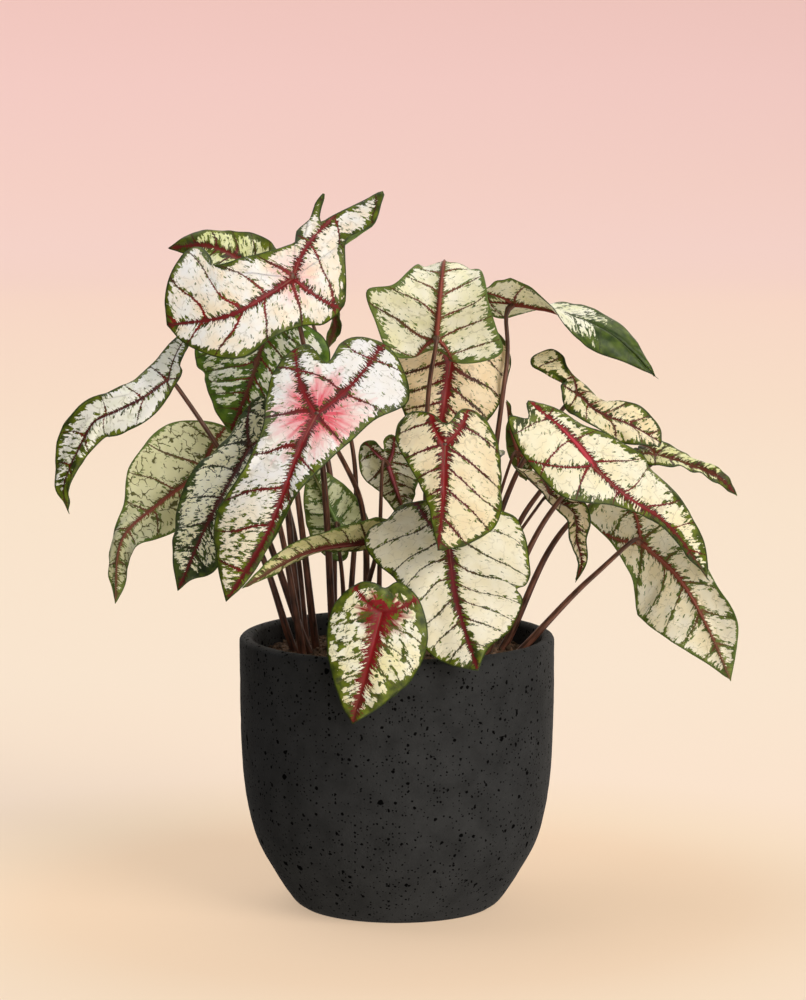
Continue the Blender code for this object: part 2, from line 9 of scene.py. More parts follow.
import bpy
import numpy as np
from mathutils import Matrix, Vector


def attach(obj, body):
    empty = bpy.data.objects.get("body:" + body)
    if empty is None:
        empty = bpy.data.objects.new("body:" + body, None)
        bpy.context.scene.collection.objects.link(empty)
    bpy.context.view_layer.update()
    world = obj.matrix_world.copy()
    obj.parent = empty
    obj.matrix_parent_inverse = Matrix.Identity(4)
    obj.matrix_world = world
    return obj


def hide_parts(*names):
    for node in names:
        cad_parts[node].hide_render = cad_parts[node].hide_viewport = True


MM = 0.001

# Settings that many shader nodes share: a mix of two colours, and an even S between two values
BLEND = dict(out=2, data_type="RGBA")
SMOOTH = dict(interpolation_type="SMOOTHSTEP")

# The camera stands where the photograph was taken, with a long lens
CAMERA_PLACE = (0.0032, -2.3, 0.534)
CAMERA_AIM = (0.0032, 0, 0.2205)
CAMERA_LENS = 155.3
CAMERA_SENSOR = 36

# Sizes that the solids have too
POT_RADIUS = 0.085
POT_HEIGHT = 0.1475
POT_WALL = 0.007
POT_FOOT_RADIUS = 0.052
POT_FLOOR = 0.012
LIP_RADIUS = 0.003
SOIL_LEVEL = 0.138
SOIL_MOUND = 0.003
STALK_TOP_RADIUS = 0.0013
STALK_BASE_RADIUS = 0.0026
STALK_DEPTH = 0.010
POT_WALL_PLACES = ((POT_FOOT_RADIUS, 0), (0.0575, 0.0045), (0.0675, 0.0200), (0.0770, 0.0390),
                   (0.0829, 0.0690), (0.0847, 0.1050), (POT_RADIUS, POT_HEIGHT - LIP_RADIUS))
POT_CORNER_WIDTH = 0.012
POT_CORNER_HEIGHT = 0.006
STALK_RISE = 0.007
STALK_TOP_GAP = 0.0004
NECK_DROP = 0.007
NECK_BACK = 0.002
MIDDLE_SHARE = (0.3, 0.3, 0.55)

# A blade here is a little thinner than its solid, and a real one is thinner still
BLADE_THICKNESS = 0.0006
# The gap between the soil and the pot, and the width of the outermost ring of the foot's face
SOIL_GAP = 0.0003
FOOT_RING = 0.006

# Places round a blade's outline and rings out from its knuckle, fewer on the leaves that others hide
AROUND = 160
RINGS = 30
HIDDEN_AROUND = 96
HIDDEN_RINGS = 18
FIRST_HIDDEN = 20
# Sides round each turned or carried form, and rows along it
STALK_SIDES = 14
STALK_RINGS = 56
RIB_SIDES = 8
RIB_RINGS = 26
POT_SIDES = 360
POT_WALL_ROWS = 120
POT_INNER_ROWS = 11
SOIL_SIDES = 180
SOIL_ROWS = 60
MIDRIB_PLACES = 61
# How finely a curve is followed before its places are spaced evenly
SAMPLES = 400
SAMPLES_PER_PLACE = 40

# A lateral vein's slope where it leaves the trunk, how that grows towards the tip and towards the lobes, and
# how it bows forward, with the bow of the veins into the lobes in radians
LATERAL_SLOPE = 0.38
LATERAL_FAN = 0.45
LOBE_FAN = 1.3
LATERAL_BOW = 0.3
BASAL_BOW = 0.28
# How far the laterals drift in millimetres and over what length, and how far left and right stand apart, as
# a share of the step from vein to vein
DRIFT = 1.6
DRIFT_SIZE = 34
STAGGER = 0.1
STAGGER_BLEND = 0.05
# Relief of the blade in millimetres
QUILT = 0.55
GROOVE = 0.6
GROOVE_WIDTH = 1.6
RUFFLE = 0.55
GRAIN = 0.12
GRAIN_SIZE = 7
# The ruffle's wavelength on a circle of radius 1 that stands for the outline
RUFFLE_SIZE = 0.35
# The ribs that stand out below a blade, the share of their radius that is sunk in it, a distance to the
# margin in millimetres that keeps its green off them, and how deep in them the stalk ends
RIB_RADIUS = 1.1 * MM
RIB_SUNK = 0.25
FAR_FROM_EDGE = 20
STALK_END_DEPTH = 1.35 * MM
# A stalk's share of its solid's thickness, how three-sided it is, and the place of its line from which it
# follows the solid's path
STALK_TAPER = 0.9
STALK_LOBES = 0.04
STALK_JOINT = 34
# Its flare at the blade, the share of the way where that starts, and the pitch of its streaks
STALK_FLARE = 0.8 * MM
FLARE_START = 0.955
STREAK_LENGTH = 9
STREAKS_ROUND = 1.6
# The share of light that goes into a blade and how deep it goes
LEAF_GLOW = 0.7
LEAF_DEPTH = 0.0012
# How far apart the leaves lie in the noises that mark them
NOISE_LAYER = 1.37
FLECK_LAYER = 2.1

# What is strewn on the soil, how far from its rim, and how light it is beside the soil itself
CRUMBS = 2600
CRUMB_RIM = 0.003
FIBRES = 260
FIBRE_RIM = 0.010
FIBRE_RADIUS = 0.18 * MM
FIBRE_LIFT = 0.6 * MM
FIBRE_SHADE = 1.2
SOIL_SHADE = 0.45
SOIL_SEED = 5

# The studio floor: flat to its reach, then a bend up into a wall. Its tint goes by the way from the pot, as
# a share of TINT_WAY. It gives off FLOOR_GLOW of that tint and throws back FLOOR_SHARE of it.
FLOOR_REACH = 4.0
FLOOR_BEND = 0.9
WALL_TOP = 2.0
FLOOR_SIDES = 128
TINT_WAY = 6.0
FLOOR_TINTS = ((0.0, "F5D9BB"), (0.03, "F5D9BB"), (0.042, "F7E0C5"), (0.06, "FAE5D0"), (0.12, "F9E7D2"),
               (0.27, "F8E5CF"), (0.406, "F7DFCA"), (0.613, "F6D8C8"), (0.711, "F2D2C9"), (0.762, "F1CEC5"),
               (0.817, "F0CAC4"), (0.862, "EDC5BF"))
FLOOR_SHARE = 0.45
FLOOR_GLOW = 0.55

# Shares along an arc at which its direction is averaged
ARC = np.linspace(0, 1, 13)[:, None]

# A plain caladium outline, (along, across) from the sinus round the right side, the tip and the left side
HEART_RIGHT = ((-0.24, 0.0), (-0.35, 0.03), (-0.43, 0.11), (-0.41, 0.22), (-0.24, 0.35), (0.05, 0.40),
               (0.36, 0.33), (0.63, 0.20), (0.84, 0.08))
HEART = HEART_RIGHT + ((1.0, 0.0),) + tuple((u, -v) for u, v in HEART_RIGHT[:0:-1])
# A broader one, which narrows only near its tip
SHIELD_RIGHT = ((-0.17, 0.0), (-0.25, 0.06), (-0.3, 0.18), (-0.2, 0.33), (0.05, 0.40), (0.36, 0.37),
                (0.62, 0.28), (0.82, 0.15))
SHIELD = SHIELD_RIGHT + ((1.0, 0.0),) + tuple((u, -v) for u, v in SHIELD_RIGHT[:0:-1])
HEART_REAR = 0.43
HEART_HALF_WIDTH = 0.40
# How far from the midrib a lobe has its own bend in full
LOBE_BLEND = 0.15

# What a leaf has where its entry says nothing else. Pairs are left and right, seen on the upper side with
# the tip up, in degrees. wave is its height in mm, its count and its start as a share of a turn.
# wide stretches the outline sideways, lobe its part behind the knuckle, and slim is the stalk's thickness.
PLAIN = dict(rim=HEART, wide=1.0, lobe=1.0, bend=(10, 10), fold=(12, 12), fold_tip=(0, 0), curl=(20, 20),
             wave=(2.0, 5, 0.0), tip_face=None, via=(), slim=1.0)

# midrib runs from the knuckle, where the stalk meets the blade, to the tip. face is the way the upper side
# looks at the knuckle and tip_face at the tip. root is where the stalk stands in the soil, and via the
# places that it passes.
LEAVES = {
    "01": dict(
        midrib=((-55, -20, 342), (-68, -30, 334), (-90, -36, 323), (-122, -30, 318)),
        face=(0.1, -1, 0.35), bend=(-18, -12), fold=(0, 0), curl=(20, 15), wave=(2, 5, 0.1),
        rim=((-0.44, 0.21), (-0.5, 0.28), (-0.6, 0.36), (-0.5, 0.34), (-0.42, 0.29), (-0.28, 0.27),
             (-0.22, 0.21), (-0.14, 0.22), (0.05, 0.27), (0.3, 0.33), (0.56, 0.42), (0.8, 0.58),
             (0.93, 0.42), (1, 0.15), (1, 0), (0.87, -0.15), (0.58, -0.3), (0.41, -0.27), (0.19, -0.3),
             (0, -0.39), (-0.19, -0.37), (-0.28, -0.28), (-0.4, -0.1), (-0.5, -0.01), (-0.71, -0.03),
             (-0.85, 0.05), (-0.91, 0.11), (-0.73, 0.165), (-0.55, 0.2)),
        root=(-34, 2)),
    "02": dict(
        midrib=((-73, 32, 336), (-86, 22, 349), (-103, 22, 356), (-124, 28, 354)),
        face=(0.2, -1, 0.3), wide=0.85, fold=(5, -8), root=(-52, 14), via=((-60, 13, 215), (-67, 39, 300))),
    "03": dict(
        midrib=((-122, -8, 287), (-136, -12, 277), (-150, -12, 270), (-162, -10, 264), (-170, -7, 250),
                (-176, -4, 237), (-179, -2, 226), (-176, 0, 213)),
        face=(-0.4, -1, 0.3), tip_face=(-0.4, -1, 0), bend=(0, 0), fold=(-5, 0), curl=(30, 30),
        wave=(1.5, 4, 0),
        rim=((-0.1, 0.03), (-0.23, 0.1), (-0.26, 0.16), (-0.12, 0.16), (0, 0.14), (0.17, 0.12), (0.33, 0.11),
             (0.48, 0.12), (0.62, 0.14), (0.76, 0.1), (0.9, 0.04), (1, 0), (0.9, -0.03), (0.76, -0.04),
             (0.62, -0.06), (0.48, -0.1), (0.33, -0.12), (0.17, -0.11), (0, -0.05), (-0.08, -0.01)),
        root=(-48, 2), via=((-73, 0, 210), (-97, -2, 251))),
    "04": dict(
        midrib=((-72, 12, 305), (-80, 5, 280), (-90, 7, 256)),
        face=(-0.2, -1, 0.3), rim=SHIELD, wide=1.8, fold=(5, 5), root=(-44, 10), via=((-52, 6, 215),)),
    "05": dict(
        midrib=((-42, -60, 274), (-51, -72, 256), (-67, -84, 215), (-89, -82, 178)),
        face=(-0.25, -1, 0.3), bend=(12, 12), fold=(0, 5), curl=(30, 20), wave=(2, 5, 0),
        rim=((-0.28, 0.07), (-0.33, 0.19), (-0.23, 0.27), (-0.06, 0.28), (0.16, 0.21), (0.33, 0.21),
             (0.55, 0.27), (0.72, 0.26), (0.86, 0.14), (1, 0), (0.85, -0.03), (0.6, -0.04), (0.4, -0.07),
             (0.23, -0.14), (0.07, -0.2), (-0.09, -0.26), (-0.25, -0.36), (-0.4, -0.27), (-0.5, -0.14),
             (-0.5, -0.01), (-0.42, 0.06)),
        root=(-16, -2), via=((-13, -2, 188), (-20, -16, 225))),
    "06": dict(
        midrib=((-78, -25, 253), (-99, -42, 216), (-116, -45, 178)),
        face=(-0.5, -1, 0.3), fold=(5, 5),
        rim=((-0.23, 0), (-0.32, 0.08), (-0.2, 0.15), (0.03, 0.19), (0.28, 0.25), (0.54, 0.25),
             (0.75, 0.16), (1, 0), (0.9, -0.05), (0.79, -0.18), (0.56, -0.2), (0.14, -0.22),
             (-0.18, -0.17), (-0.26, -0.08)),
        root=(-51, -6), via=((-61, -10, 200),)),
    "07": dict(
        midrib=((-104, 5, 236), (-129, 0, 218), (-148, -5, 199), (-152, 0, 164)),
        face=(0.1, 1, 0.25), tip_face=(0.9, 0.4, 0.2), fold=(5, 5), curl=(15, 15),
        rim=((-0.2, 0), (-0.25, 0.1), (-0.1, 0.3), (0.1, 0.3), (0.3, 0.2), (0.6, 0.12), (0.85, 0.06), (1, 0),
             (0.85, -0.06), (0.63, -0.09), (0.48, -0.12), (0.35, -0.25), (0.12, -0.34), (-0.07, -0.3),
             (-0.24, -0.15), (-0.25, -0.04)),
        root=(-56, 5), via=((-66, 8, 180),)),
    "08": dict(
        midrib=((-15, -32, 203), (-49, -42, 198), (-82, -48, 180)),
        face=(0.1, 0.6, 0.9), wide=0.6, lobe=0.5, fold=(15, 10), curl=(0, 0), wave=(1, 4, 0),
        root=(-20, -20)),
    "09": dict(
        midrib=((25, -80, 260), (24, -92, 233), (21, -88, 206)),
        face=(0.1, -1, 0.25), bend=(8, 8), fold=(0, -5), curl=(25, 30), wave=(1.5, 5, 0),
        rim=((-0.21, -0.01), (-0.3, 0.13), (-0.33, 0.37), (-0.14, 0.5), (0.16, 0.34), (0.57, 0.14), (1, 0),
             (0.93, -0.3), (0.72, -0.54), (0.28, -0.6), (-0.04, -0.53), (-0.33, -0.35), (-0.38, -0.16)),
        root=(22, -22), via=((22, -34, 200), (23, -52, 238))),
    "10": dict(
        midrib=((21, 0, 308), (23, -4, 331), (25, 8, 347), (27, 38, 342)),
        face=(0, 1, 0.1), tip_face=(0, 0.1, -1), fold=(5, 5), curl=(10, 10), wave=(2, 5, 0.2),
        rim=((-0.1, 0), (-0.17, 0.17), (-0.13, 0.33), (0.08, 0.44), (0.3, 0.52), (0.36, 0.34), (0.48, 0.24),
             (0.62, 0.17), (0.8, 0.1), (1, 0), (0.8, -0.16), (0.62, -0.25), (0.47, -0.3), (0.3, -0.35),
             (0.1, -0.42), (-0.05, -0.48), (-0.13, -0.38), (-0.17, -0.16)),
        root=(16, 2), via=((16, 6, 262),)),
    "11": dict(
        midrib=((29, 25, 293), (25, 15, 268), (18, 17, 234)),
        face=(0.1, -1, 0.4), wide=1.4, fold=(0, 0), root=(20, 18)),
    "12": dict(
        midrib=((63, 35, 324), (88, 30, 319), (115, 26, 307), (140, 25, 282)),
        face=(0.1, 0.4, 0.95), tip_face=(0.3, -1, 0.3), wide=0.8, lobe=0.5, fold=(10, 10), wave=(4, 4, 0.3),
        root=(40, 16), via=((57, 25, 272), (60, 30, 298))),
    "13": dict(
        midrib=((97, 15, 277), (109, 8, 267), (126, 6, 261), (144, 8, 252)),
        face=(0.2, -0.7, 0.9), bend=(3, 3), fold=(5, 5), wave=(3, 5, 0.2),
        rim=((-0.14, 0.02), (-0.12, 0.12), (0.1, 0.22), (0.4, 0.25), (0.7, 0.24), (0.93, 0.18), (1, 0),
             (0.93, -0.18), (0.7, -0.23), (0.4, -0.22), (0.1, -0.18), (-0.1, -0.15), (-0.27, -0.13),
             (-0.4, -0.2), (-0.55, -0.18), (-0.61, -0.04), (-0.53, 0.08), (-0.37, 0.05), (-0.27, 0)),
        root=(34, 6), via=((62, 18, 226), (80, 23, 254))),
    "14": dict(
        midrib=((103, -45, 245), (121, -48, 229), (140, -43, 216), (154, -38, 200), (166, -34, 181)),
        face=(0.3, -1, 0.6), bend=(0, 0), fold=(-5, 0), fold_tip=(0, -60), curl=(20, 25), wave=(2, 5, 0.2),
        rim=((-0.45, 0.06), (-0.54, 0.13), (-0.43, 0.2), (-0.26, 0.25), (-0.02, 0.27), (0.12, 0.2),
             (0.24, 0.09), (0.4, 0.04), (0.75, 0.03), (1, 0), (0.92, -0.08), (0.8, -0.12), (0.66, -0.15),
             (0.5, -0.23), (0.35, -0.32), (0.17, -0.32), (-0.13, -0.2), (-0.38, -0.14), (-0.52, -0.02)),
        root=(48, -10), via=((73, -12, 200), (88, -26, 226))),
    "15": dict(
        midrib=((131, -10, 199), (151, -22, 181), (166, -26, 155), (179, -20, 124)),
        face=(0.3, 1, 0.2), fold=(5, 5), curl=(10, 10), wave=(2, 4, 0.3),
        rim=((-0.36, 0), (-0.4, 0.1), (-0.38, 0.22), (-0.2, 0.28), (0.05, 0.22), (0.41, 0.17), (0.62, 0.19),
             (0.78, 0.12), (1, 0), (0.85, -0.09), (0.7, -0.19), (0.44, -0.33), (0.21, -0.34), (0.05, -0.19),
             (-0.14, -0.13), (-0.33, -0.13), (-0.38, -0.06)),
        root=(66, -4), via=((80, -5, 158), (104, -8, 179))),
    "16": dict(
        midrib=((140, 18, 243), (158, 12, 238), (173, 9, 232), (184, 12, 221)),
        face=(0.2, -0.5, 1), wide=0.55, lobe=0.5, fold=(10, 10), wave=(2, 4, 0), root=(58, 14),
        via=((77, 12, 180), (93, 14, 206))),
    "17": dict(
        midrib=((82, 0, 223), (95, -5, 213), (96, -6, 200), (99, -5, 188), (96, -4, 176)),
        face=(0.9, -0.5, 0.3), tip_face=(-0.3, -1, 0.1), wide=0.45, fold=(30, 30), wave=(2, 3, 0),
        root=(44, 4), slim=0.7),
    "18": dict(
        midrib=((27, -62, 208), (31, -84, 179), (42, -97, 144)),
        face=(0.05, -1, 0.3), fold=(0, 0), curl=(15, 15), wave=(2, 6, 0.1),
        rim=((-0.2, -0.03), (-0.31, 0.07), (-0.35, 0.3), (-0.24, 0.42), (-0.2, 0.52), (-0.08, 0.58),
             (0.1, 0.52), (0.25, 0.4), (0.5, 0.32), (0.73, 0.3), (0.88, 0.19), (1, 0), (0.87, -0.12),
             (0.78, -0.32), (0.6, -0.45), (0.46, -0.43), (0.4, -0.51), (0.2, -0.58), (0, -0.55),
             (-0.19, -0.47), (-0.24, -0.25)),
        root=(30, -34)),
    "19": dict(
        midrib=((-8, -98, 175), (-15, -103, 147), (-23, -96, 116)),
        face=(-0.05, -1, 0.15), fold=(5, 5), wave=(1, 4, 0),
        rim=((-0.21, 0.02), (-0.23, 0.12), (-0.19, 0.25), (0.03, 0.41), (0.38, 0.38), (0.82, 0.16), (1, 0),
             (0.81, -0.15), (0.46, -0.39), (0.14, -0.43), (-0.16, -0.3), (-0.29, -0.09)),
        root=(-26, -30), via=((-21, -46, 172), (-13, -74, 185))),
    "20": dict(midrib=((-5, 20, 238), (5, 30, 205)), face=(0.3, 0.8, 0.2), wide=1.2, root=(-10, 10),
               slim=0.8),
    "21": dict(midrib=((-32, 20, 204), (-50, 32, 240)), face=(0, 1, 0.2), root=(-28, 12), slim=0.8),
    "22": dict(midrib=((67, 40, 240), (63, 45, 253), (60, 42, 270)), face=(0.5, 0.8, 0.2), wide=0.6,
               fold=(20, 20), wave=(2, 3, 0), root=(44, 30), slim=0.7),
    "23": dict(midrib=((-43, 45, 324), (-34, 50, 313), (-38, 50, 297)), face=(0.6, 0.5, 0.5), wide=0.7,
               root=(-26, 26), via=((-21, 38, 230),), slim=0.8),
    "24": dict(midrib=((-74, 74, 316), (-79, 102, 308), (-84, 128, 280)), face=(0, 0.5, 1), wide=0.95,
               root=(-34, 38), via=((-40, 46, 245),)),
    "25": dict(midrib=((20, 62, 319), (21, 94, 314), (22, 124, 284)), face=(0, 0.5, 1), wide=0.9,
               root=(6, 32), via=((4, 36, 240),)),
    "26": dict(midrib=((-71, 55, 246), (-78, 85, 237), (-86, 112, 202)), face=(-0.3, 0.6, 0.8), wide=0.8,
               root=(-50, 34)),
    "27": dict(midrib=((100, 58, 250), (110, 86, 243), (120, 108, 216)), face=(0.3, 0.5, 1), wide=0.8,
               root=(48, 38)),
    "28": dict(midrib=((34, 64, 235), (35, 94, 229), (35, 118, 192)), face=(0, 0.6, 0.8), wide=0.85,
               root=(28, 36)),
}


# The colours and the strength of each marking. Lengths are in millimetres. base, margin_amount, beside_rib
# and beside_lateral are how much green breaks into the ground everywhere, along the edge, next to the thick
# veins and next to the thin ones.
# The lighter middle of the thick veins is partly their own pink and partly a painted highlight.
UPPER = dict(ground="F6F1D6", ground_deep="EFE6B9", green="6C7A16", green_dark="33400A", rib="720A0C",
             rib_heart_and_highlight="941418", rib_tip="6A1A1A", fringe="46200C", lateral="43230D", lateral_root="7A1410",
             net="5F5322", edge="2A380C", blush="E8707C", rib_width=0.9, rib_spike=1.5,
             basal_width=(0.75, 0.75), lateral_width=0.34, lateral_spike=1.0, lateral_red=0.5,
             net_strength=0.3, laterals=5.5, base=0.1, margin=4.5, margin_amount=0.9, beside_rib=0.25,
             beside_lateral=0.3, fleck=(1.8, 4.2), blush_radius=10.0, blush_amount=0.0, blush_ray=0.0,
             tip_green=0.0, tip_ground=None, lobe_veins=(150, 150), roughness=0.45)
UNDER = dict(UPPER, ground="F0EDCE", ground_deep="E2DEB4", green="7A8A40", green_dark="4C6326", rib="803A30",
             rib_heart_and_highlight="94503F", rib_tip="74503A", fringe="6E6534", lateral="64462A", lateral_root="7A4232",
             net="75703C", edge="55682B", blush="D79A90", roughness=0.55)
# What differs on each leaf: first its upper face, then its underside
LOOKS = {
    "01": (dict(ground="F8F7F2", ground_deep="FAE8D2", margin=4.4, laterals=4.2, lateral_width=0.5,
                lateral_red=0.95, lateral_spike=1.3, rib_width=1.0, basal_width=(0.9, 0.9), rib="7A0E14",
                rib_heart_and_highlight="A01A20", lateral_root="8C1618", blush_radius=18.0, blush_amount=0.55,
                blush_ray=26.0, lobe_veins=(160, 115), base=0.11), {}),
    "02": (dict(ground="EDF0CB", ground_deep="D6DC9C", base=0.3, margin=5.0, rib="7E2820"), {}),
    "03": (dict(ground="F7F7F1", ground_deep="ECEFE0", rib="54201F", rib_heart_and_highlight="6E3032", rib_width=0.3,
                rib_spike=0.6, basal_width=(0.2, 0.2), lateral_width=0.25, margin=3.6, base=0.05,
                beside_lateral=0.18, tip_green=0.35), {}),
    "04": (dict(ground="F9FBEE", ground_deep="EEF4D6", base=0.4, margin=6.0, beside_rib=0.42, rib="6A3C26",
                rib_heart_and_highlight="84543A", rib_width=0.6, basal_width=(0.5, 0.5), fleck=(3.0, 6.0),
                lateral="4F4A20", green="6A8A26", green_dark="3C5A16"), {}),
    "05": (dict(ground="F9F9F7", ground_deep="F5F2EC", margin=5.0, laterals=5.0, rib="740A0E",
                rib_heart_and_highlight="9A1218", rib_width=1.1, basal_width=(0.95, 0.95), rib_spike=2.0, lateral="421811",
                lateral_root="7A1214", lateral_red=1.0, lateral_width=0.55, lateral_spike=1.5,
                blush="E25F70", blush_radius=28.0, blush_amount=1.35, blush_ray=44.0, tip_green=0.3,
                tip_ground="F6EAD2", lobe_veins=(140, 165)), {}),
    "06": (dict(ground="FBF9DC", ground_deep="F2EEC8", net_strength=1.3, net="2E3A1C", green="4C5E22",
                green_dark="22301A", base=0.08, margin=4.0, beside_lateral=0.24, rib="5A2A22",
                rib_heart_and_highlight="6E3A2E", rib_width=0.5, basal_width=(0.5, 0.5), lateral="2C3018",
                lateral_root="3E2A1A", tip_green=0.3), {}),
    "07": ({}, dict(ground="DCDDBE", ground_deep="D0D1AC", net_strength=1.5, rib_width=0.6, lateral="5E4A2C",
                    margin=2.2, base=0.08, net="5A5A2C")),
    "08": ({}, dict(ground="E6E0B2", ground_deep="D0CC92", lateral="4E3A1C", laterals=7.5, base=0.06,
                    rib="5E1E18", rib_heart_and_highlight="6E2A20", rib_width=1.3, margin=2.5)),
    "09": (dict(ground="EEE4C6", ground_deep="EAD9B8", rib="7C0808", rib_heart_and_highlight="920E10", rib_width=1.35,
                basal_width=(1.1, 1.1), rib_spike=2.2, lateral="4A1810", lateral_root="6C0E16",
                lateral_red=0.9, lateral_width=0.42, lateral_spike=1.2, margin=4.4, base=0.05, laterals=4.6,
                lobe_veins=(155, 150)), {}),
    "10": ({}, dict(ground="F9F6DE", ground_deep="F0EDC8", rib="84382E", rib_heart_and_highlight="984E40",
                    lateral="5E4226", lateral_root="7A3A2A", lateral_red=0.8, margin=4.0, base=0.09,
                    laterals=6.5, lobe_veins=(140, 140))),
    "11": (dict(ground="F2DEC0", ground_deep="E6CEA8", rib="7C0E0E", rib_heart_and_highlight="921816", lateral="48240F",
                lateral_width=0.5, lateral_spike=1.6, margin=3.0, rib_width=1.5, basal_width=(1.1, 1.1),
                rib_spike=2.4), {}),
    "12": (dict(ground="F3F3DE", ground_deep="E2E6BE", base=0.12, margin=4.0, tip_green=1.15,
                green="52661A", green_dark="243C0C", rib="3C4A1C", rib_heart_and_highlight="4A5A24", rib_tip="2C400F",
                fringe="2E3E12", lateral="3A4A16", lateral_root="3A4A16"),
           dict(ground="FCF9E2", ground_deep="F4F1D2", rib_width=0.7, basal_width=(0.6, 0.6),
                lateral="6E2E22", rib="7E2A24")),
    "13": (dict(ground="FAEECB", ground_deep="F2DEB6", lateral="5E341C", rib="64261A", rib_heart_and_highlight="7E402E",
                rib_width=0.5, rib_spike=1.0, basal_width=(0.4, 0.4), margin=3.0, base=0.14, laterals=5.0),
           dict(ground="F8DCC0", ground_deep="EEC8A8")),
    "14": (dict(ground="FAF3D8", ground_deep="F5EAC8", rib="840C12", rib_heart_and_highlight="C43848", rib_tip="5A2416",
                lateral="561A14", lateral_root="841416", lateral_red=0.8, base=0.06, margin=5.5,
                laterals=5.0, rib_width=0.75, basal_width=(0.35, 1.9), lobe_veins=(140, 176)), {}),
    "15": ({}, dict(ground="FCF4E0", ground_deep="F5E9CC", lateral="5E602A", rib="80382A", base=0.12,
                    margin=2.6, beside_lateral=0.5, rib_spike=1.6)),
    "16": (dict(ground="EFEDC4", ground_deep="DDE09E", base=0.2, margin=2.2, rib="6A3E24",
                rib_width=0.6), {}),
    "17": (dict(ground="E6D8BC", ground_deep="D2C29E", base=0.12, margin=1.4, rib="5E3424", rib_width=0.5),
           dict(ground="E2D2B2", ground_deep="CCBC96")),
    "18": (dict(ground="F0EAD4", ground_deep="EAE1C4", net_strength=0.2, rib="641418", rib_heart_and_highlight="7A1C20",
                lateral="403C1A", lateral_root="58281A", lateral_width=0.28, lateral_spike=0.8, base=0.04,
                margin=3.6, beside_rib=0.6, laterals=6.5, rib_width=1.1), {}),
    "19": (dict(ground="FAF8E6", ground_deep="F2EABC", base=0.34, margin=5.0, rib="800A10",
                rib_heart_and_highlight="981218", rib_tip="7A2E24", rib_width=1.5, rib_spike=3.4, basal_width=(0.4, 0.4),
                fringe="780E12", lateral="5A5A1E", lateral_width=0.22, lateral_red=0.3, blush="8E0E18",
                blush_radius=14.0, blush_amount=3.0, blush_ray=20.0, fleck=(3.2, 4.6), beside_rib=0.1,
                beside_lateral=0.15, lobe_veins=(120, 125)), {}),
    "20": ({}, dict(ground="FAF8E8", ground_deep="F0EED2", base=0.06, margin=1.8, rib="8E3A40",
                    rib_heart_and_highlight="A85862")),
    "21": ({}, dict(ground="E2E6C8", ground_deep="CCD2AA", lateral="506A30", lateral_root="5E7A38",
                    base=0.12, margin=3.0, rib="5F7A3A", rib_heart_and_highlight="7A9450", fringe="506A30")),
    "22": (dict(base=0.3, margin=3.0, green="6A7A2A"), {}),
    "23": (dict(base=0.45, margin=8.0), {}),
    "24": (dict(ground="F8F6EC", base=0.14), {}),
    "25": (dict(ground="F7F2CE", laterals=5.0, rib_width=1.3), {}),
    "26": (dict(base=0.3, margin=7.0), {}),
    "27": (dict(ground="F6EFC8", blush_radius=16.0, blush_amount=0.5, blush_ray=20.0), {}),
    "28": (dict(base=0.18), {}),
}
# These go for both faces of a leaf, because its pattern goes through it
SHARED = ("laterals", "margin", "base", "beside_rib", "beside_lateral", "rib_width", "basal_width",
          "lateral_width", "fleck", "tip_green", "lobe_veins")


def curve_through(points, places):
    """Catmull-Rom curve through rows of points, at places counted in points from the second row."""
    first = np.minimum(places.astype(int), len(points) - 4)
    part = (places - first)[:, None]
    a, b, c, d = (points[first + k] for k in range(4))
    return 0.5 * (2 * b + (c - a) * part + (2 * a - 5 * b + 4 * c - d) * part**2
                  + (3 * b - a - 3 * c + d) * part**3)


def spaced_evenly(dense, count):
    """count places spaced evenly along a dense line, its two ends among them, and the line's length."""
    steps = np.linalg.norm(np.diff(dense, axis=0), axis=1)
    run = np.concatenate([[0], np.cumsum(steps)])
    wanted = np.linspace(0, run[-1], count)
    columns = [np.interp(wanted, run, dense[:, k]) for k in range(dense.shape[1])]
    return np.stack(columns, axis=1), run[-1]


def smooth_line(points, count):
    """A smooth line through all the points, resampled evenly."""
    rows = np.array(points, float)
    ends = np.vstack([2 * rows[0] - rows[1], rows, 2 * rows[-1] - rows[-2]])
    places = np.linspace(0, len(rows) - 1, SAMPLES_PER_PLACE * len(rows))
    return spaced_evenly(curve_through(ends, places), count)


def smooth_outline(rim, half):
    """The outline at 2 * half places, from the sinus by the right side to the pointed tip, and back."""
    rows = np.array(rim, float)
    tip = rim.index((1, 0))
    right = np.vstack([rows[-1], rows[:tip + 1], 2 * rows[tip] - rows[tip - 1]])
    left = np.vstack([2 * rows[tip] - rows[tip + 1], rows[tip:], rows[0], rows[1]])
    sides = []
    for loop in (right, left):
        spans = len(loop) - 3
        places = np.linspace(0, spans, SAMPLES_PER_PLACE * spans)
        side, _ = spaced_evenly(curve_through(loop, places), half + 1)
        sides.append(side[:-1])
    return np.vstack(sides)


def unit(vectors):
    return vectors / np.linalg.norm(vectors, axis=-1, keepdims=True)


class Midrib:
    """The midrib's smooth line with three directions along it: ahead, across to the right, and up."""

    def __init__(self, leaf):
        self.share = np.linspace(0, 1, MIDRIB_PLACES)
        self.line, self.length = smooth_line(np.array(leaf["midrib"]) * MM, len(self.share))
        self.ahead = unit(np.gradient(self.line, axis=0))
        first = unit(np.array(leaf["face"], float))
        last = unit(np.array(leaf["tip_face"] or leaf["face"], float))
        up = first * (1 - self.share[:, None]) + last * self.share[:, None]
        self.up = unit(up - self.ahead * (up * self.ahead).sum(axis=1, keepdims=True))
        self.across = np.cross(self.ahead, self.up)

    def at(self, field, along):
        """A field's values at shares along the midrib."""
        return np.stack([np.interp(along, self.share, field[:, k]) for k in range(3)], axis=1)


def mean_along(values):
    """The mean over an arc's steps."""
    return (values[1:] + values[:-1]).mean(axis=0) / 2


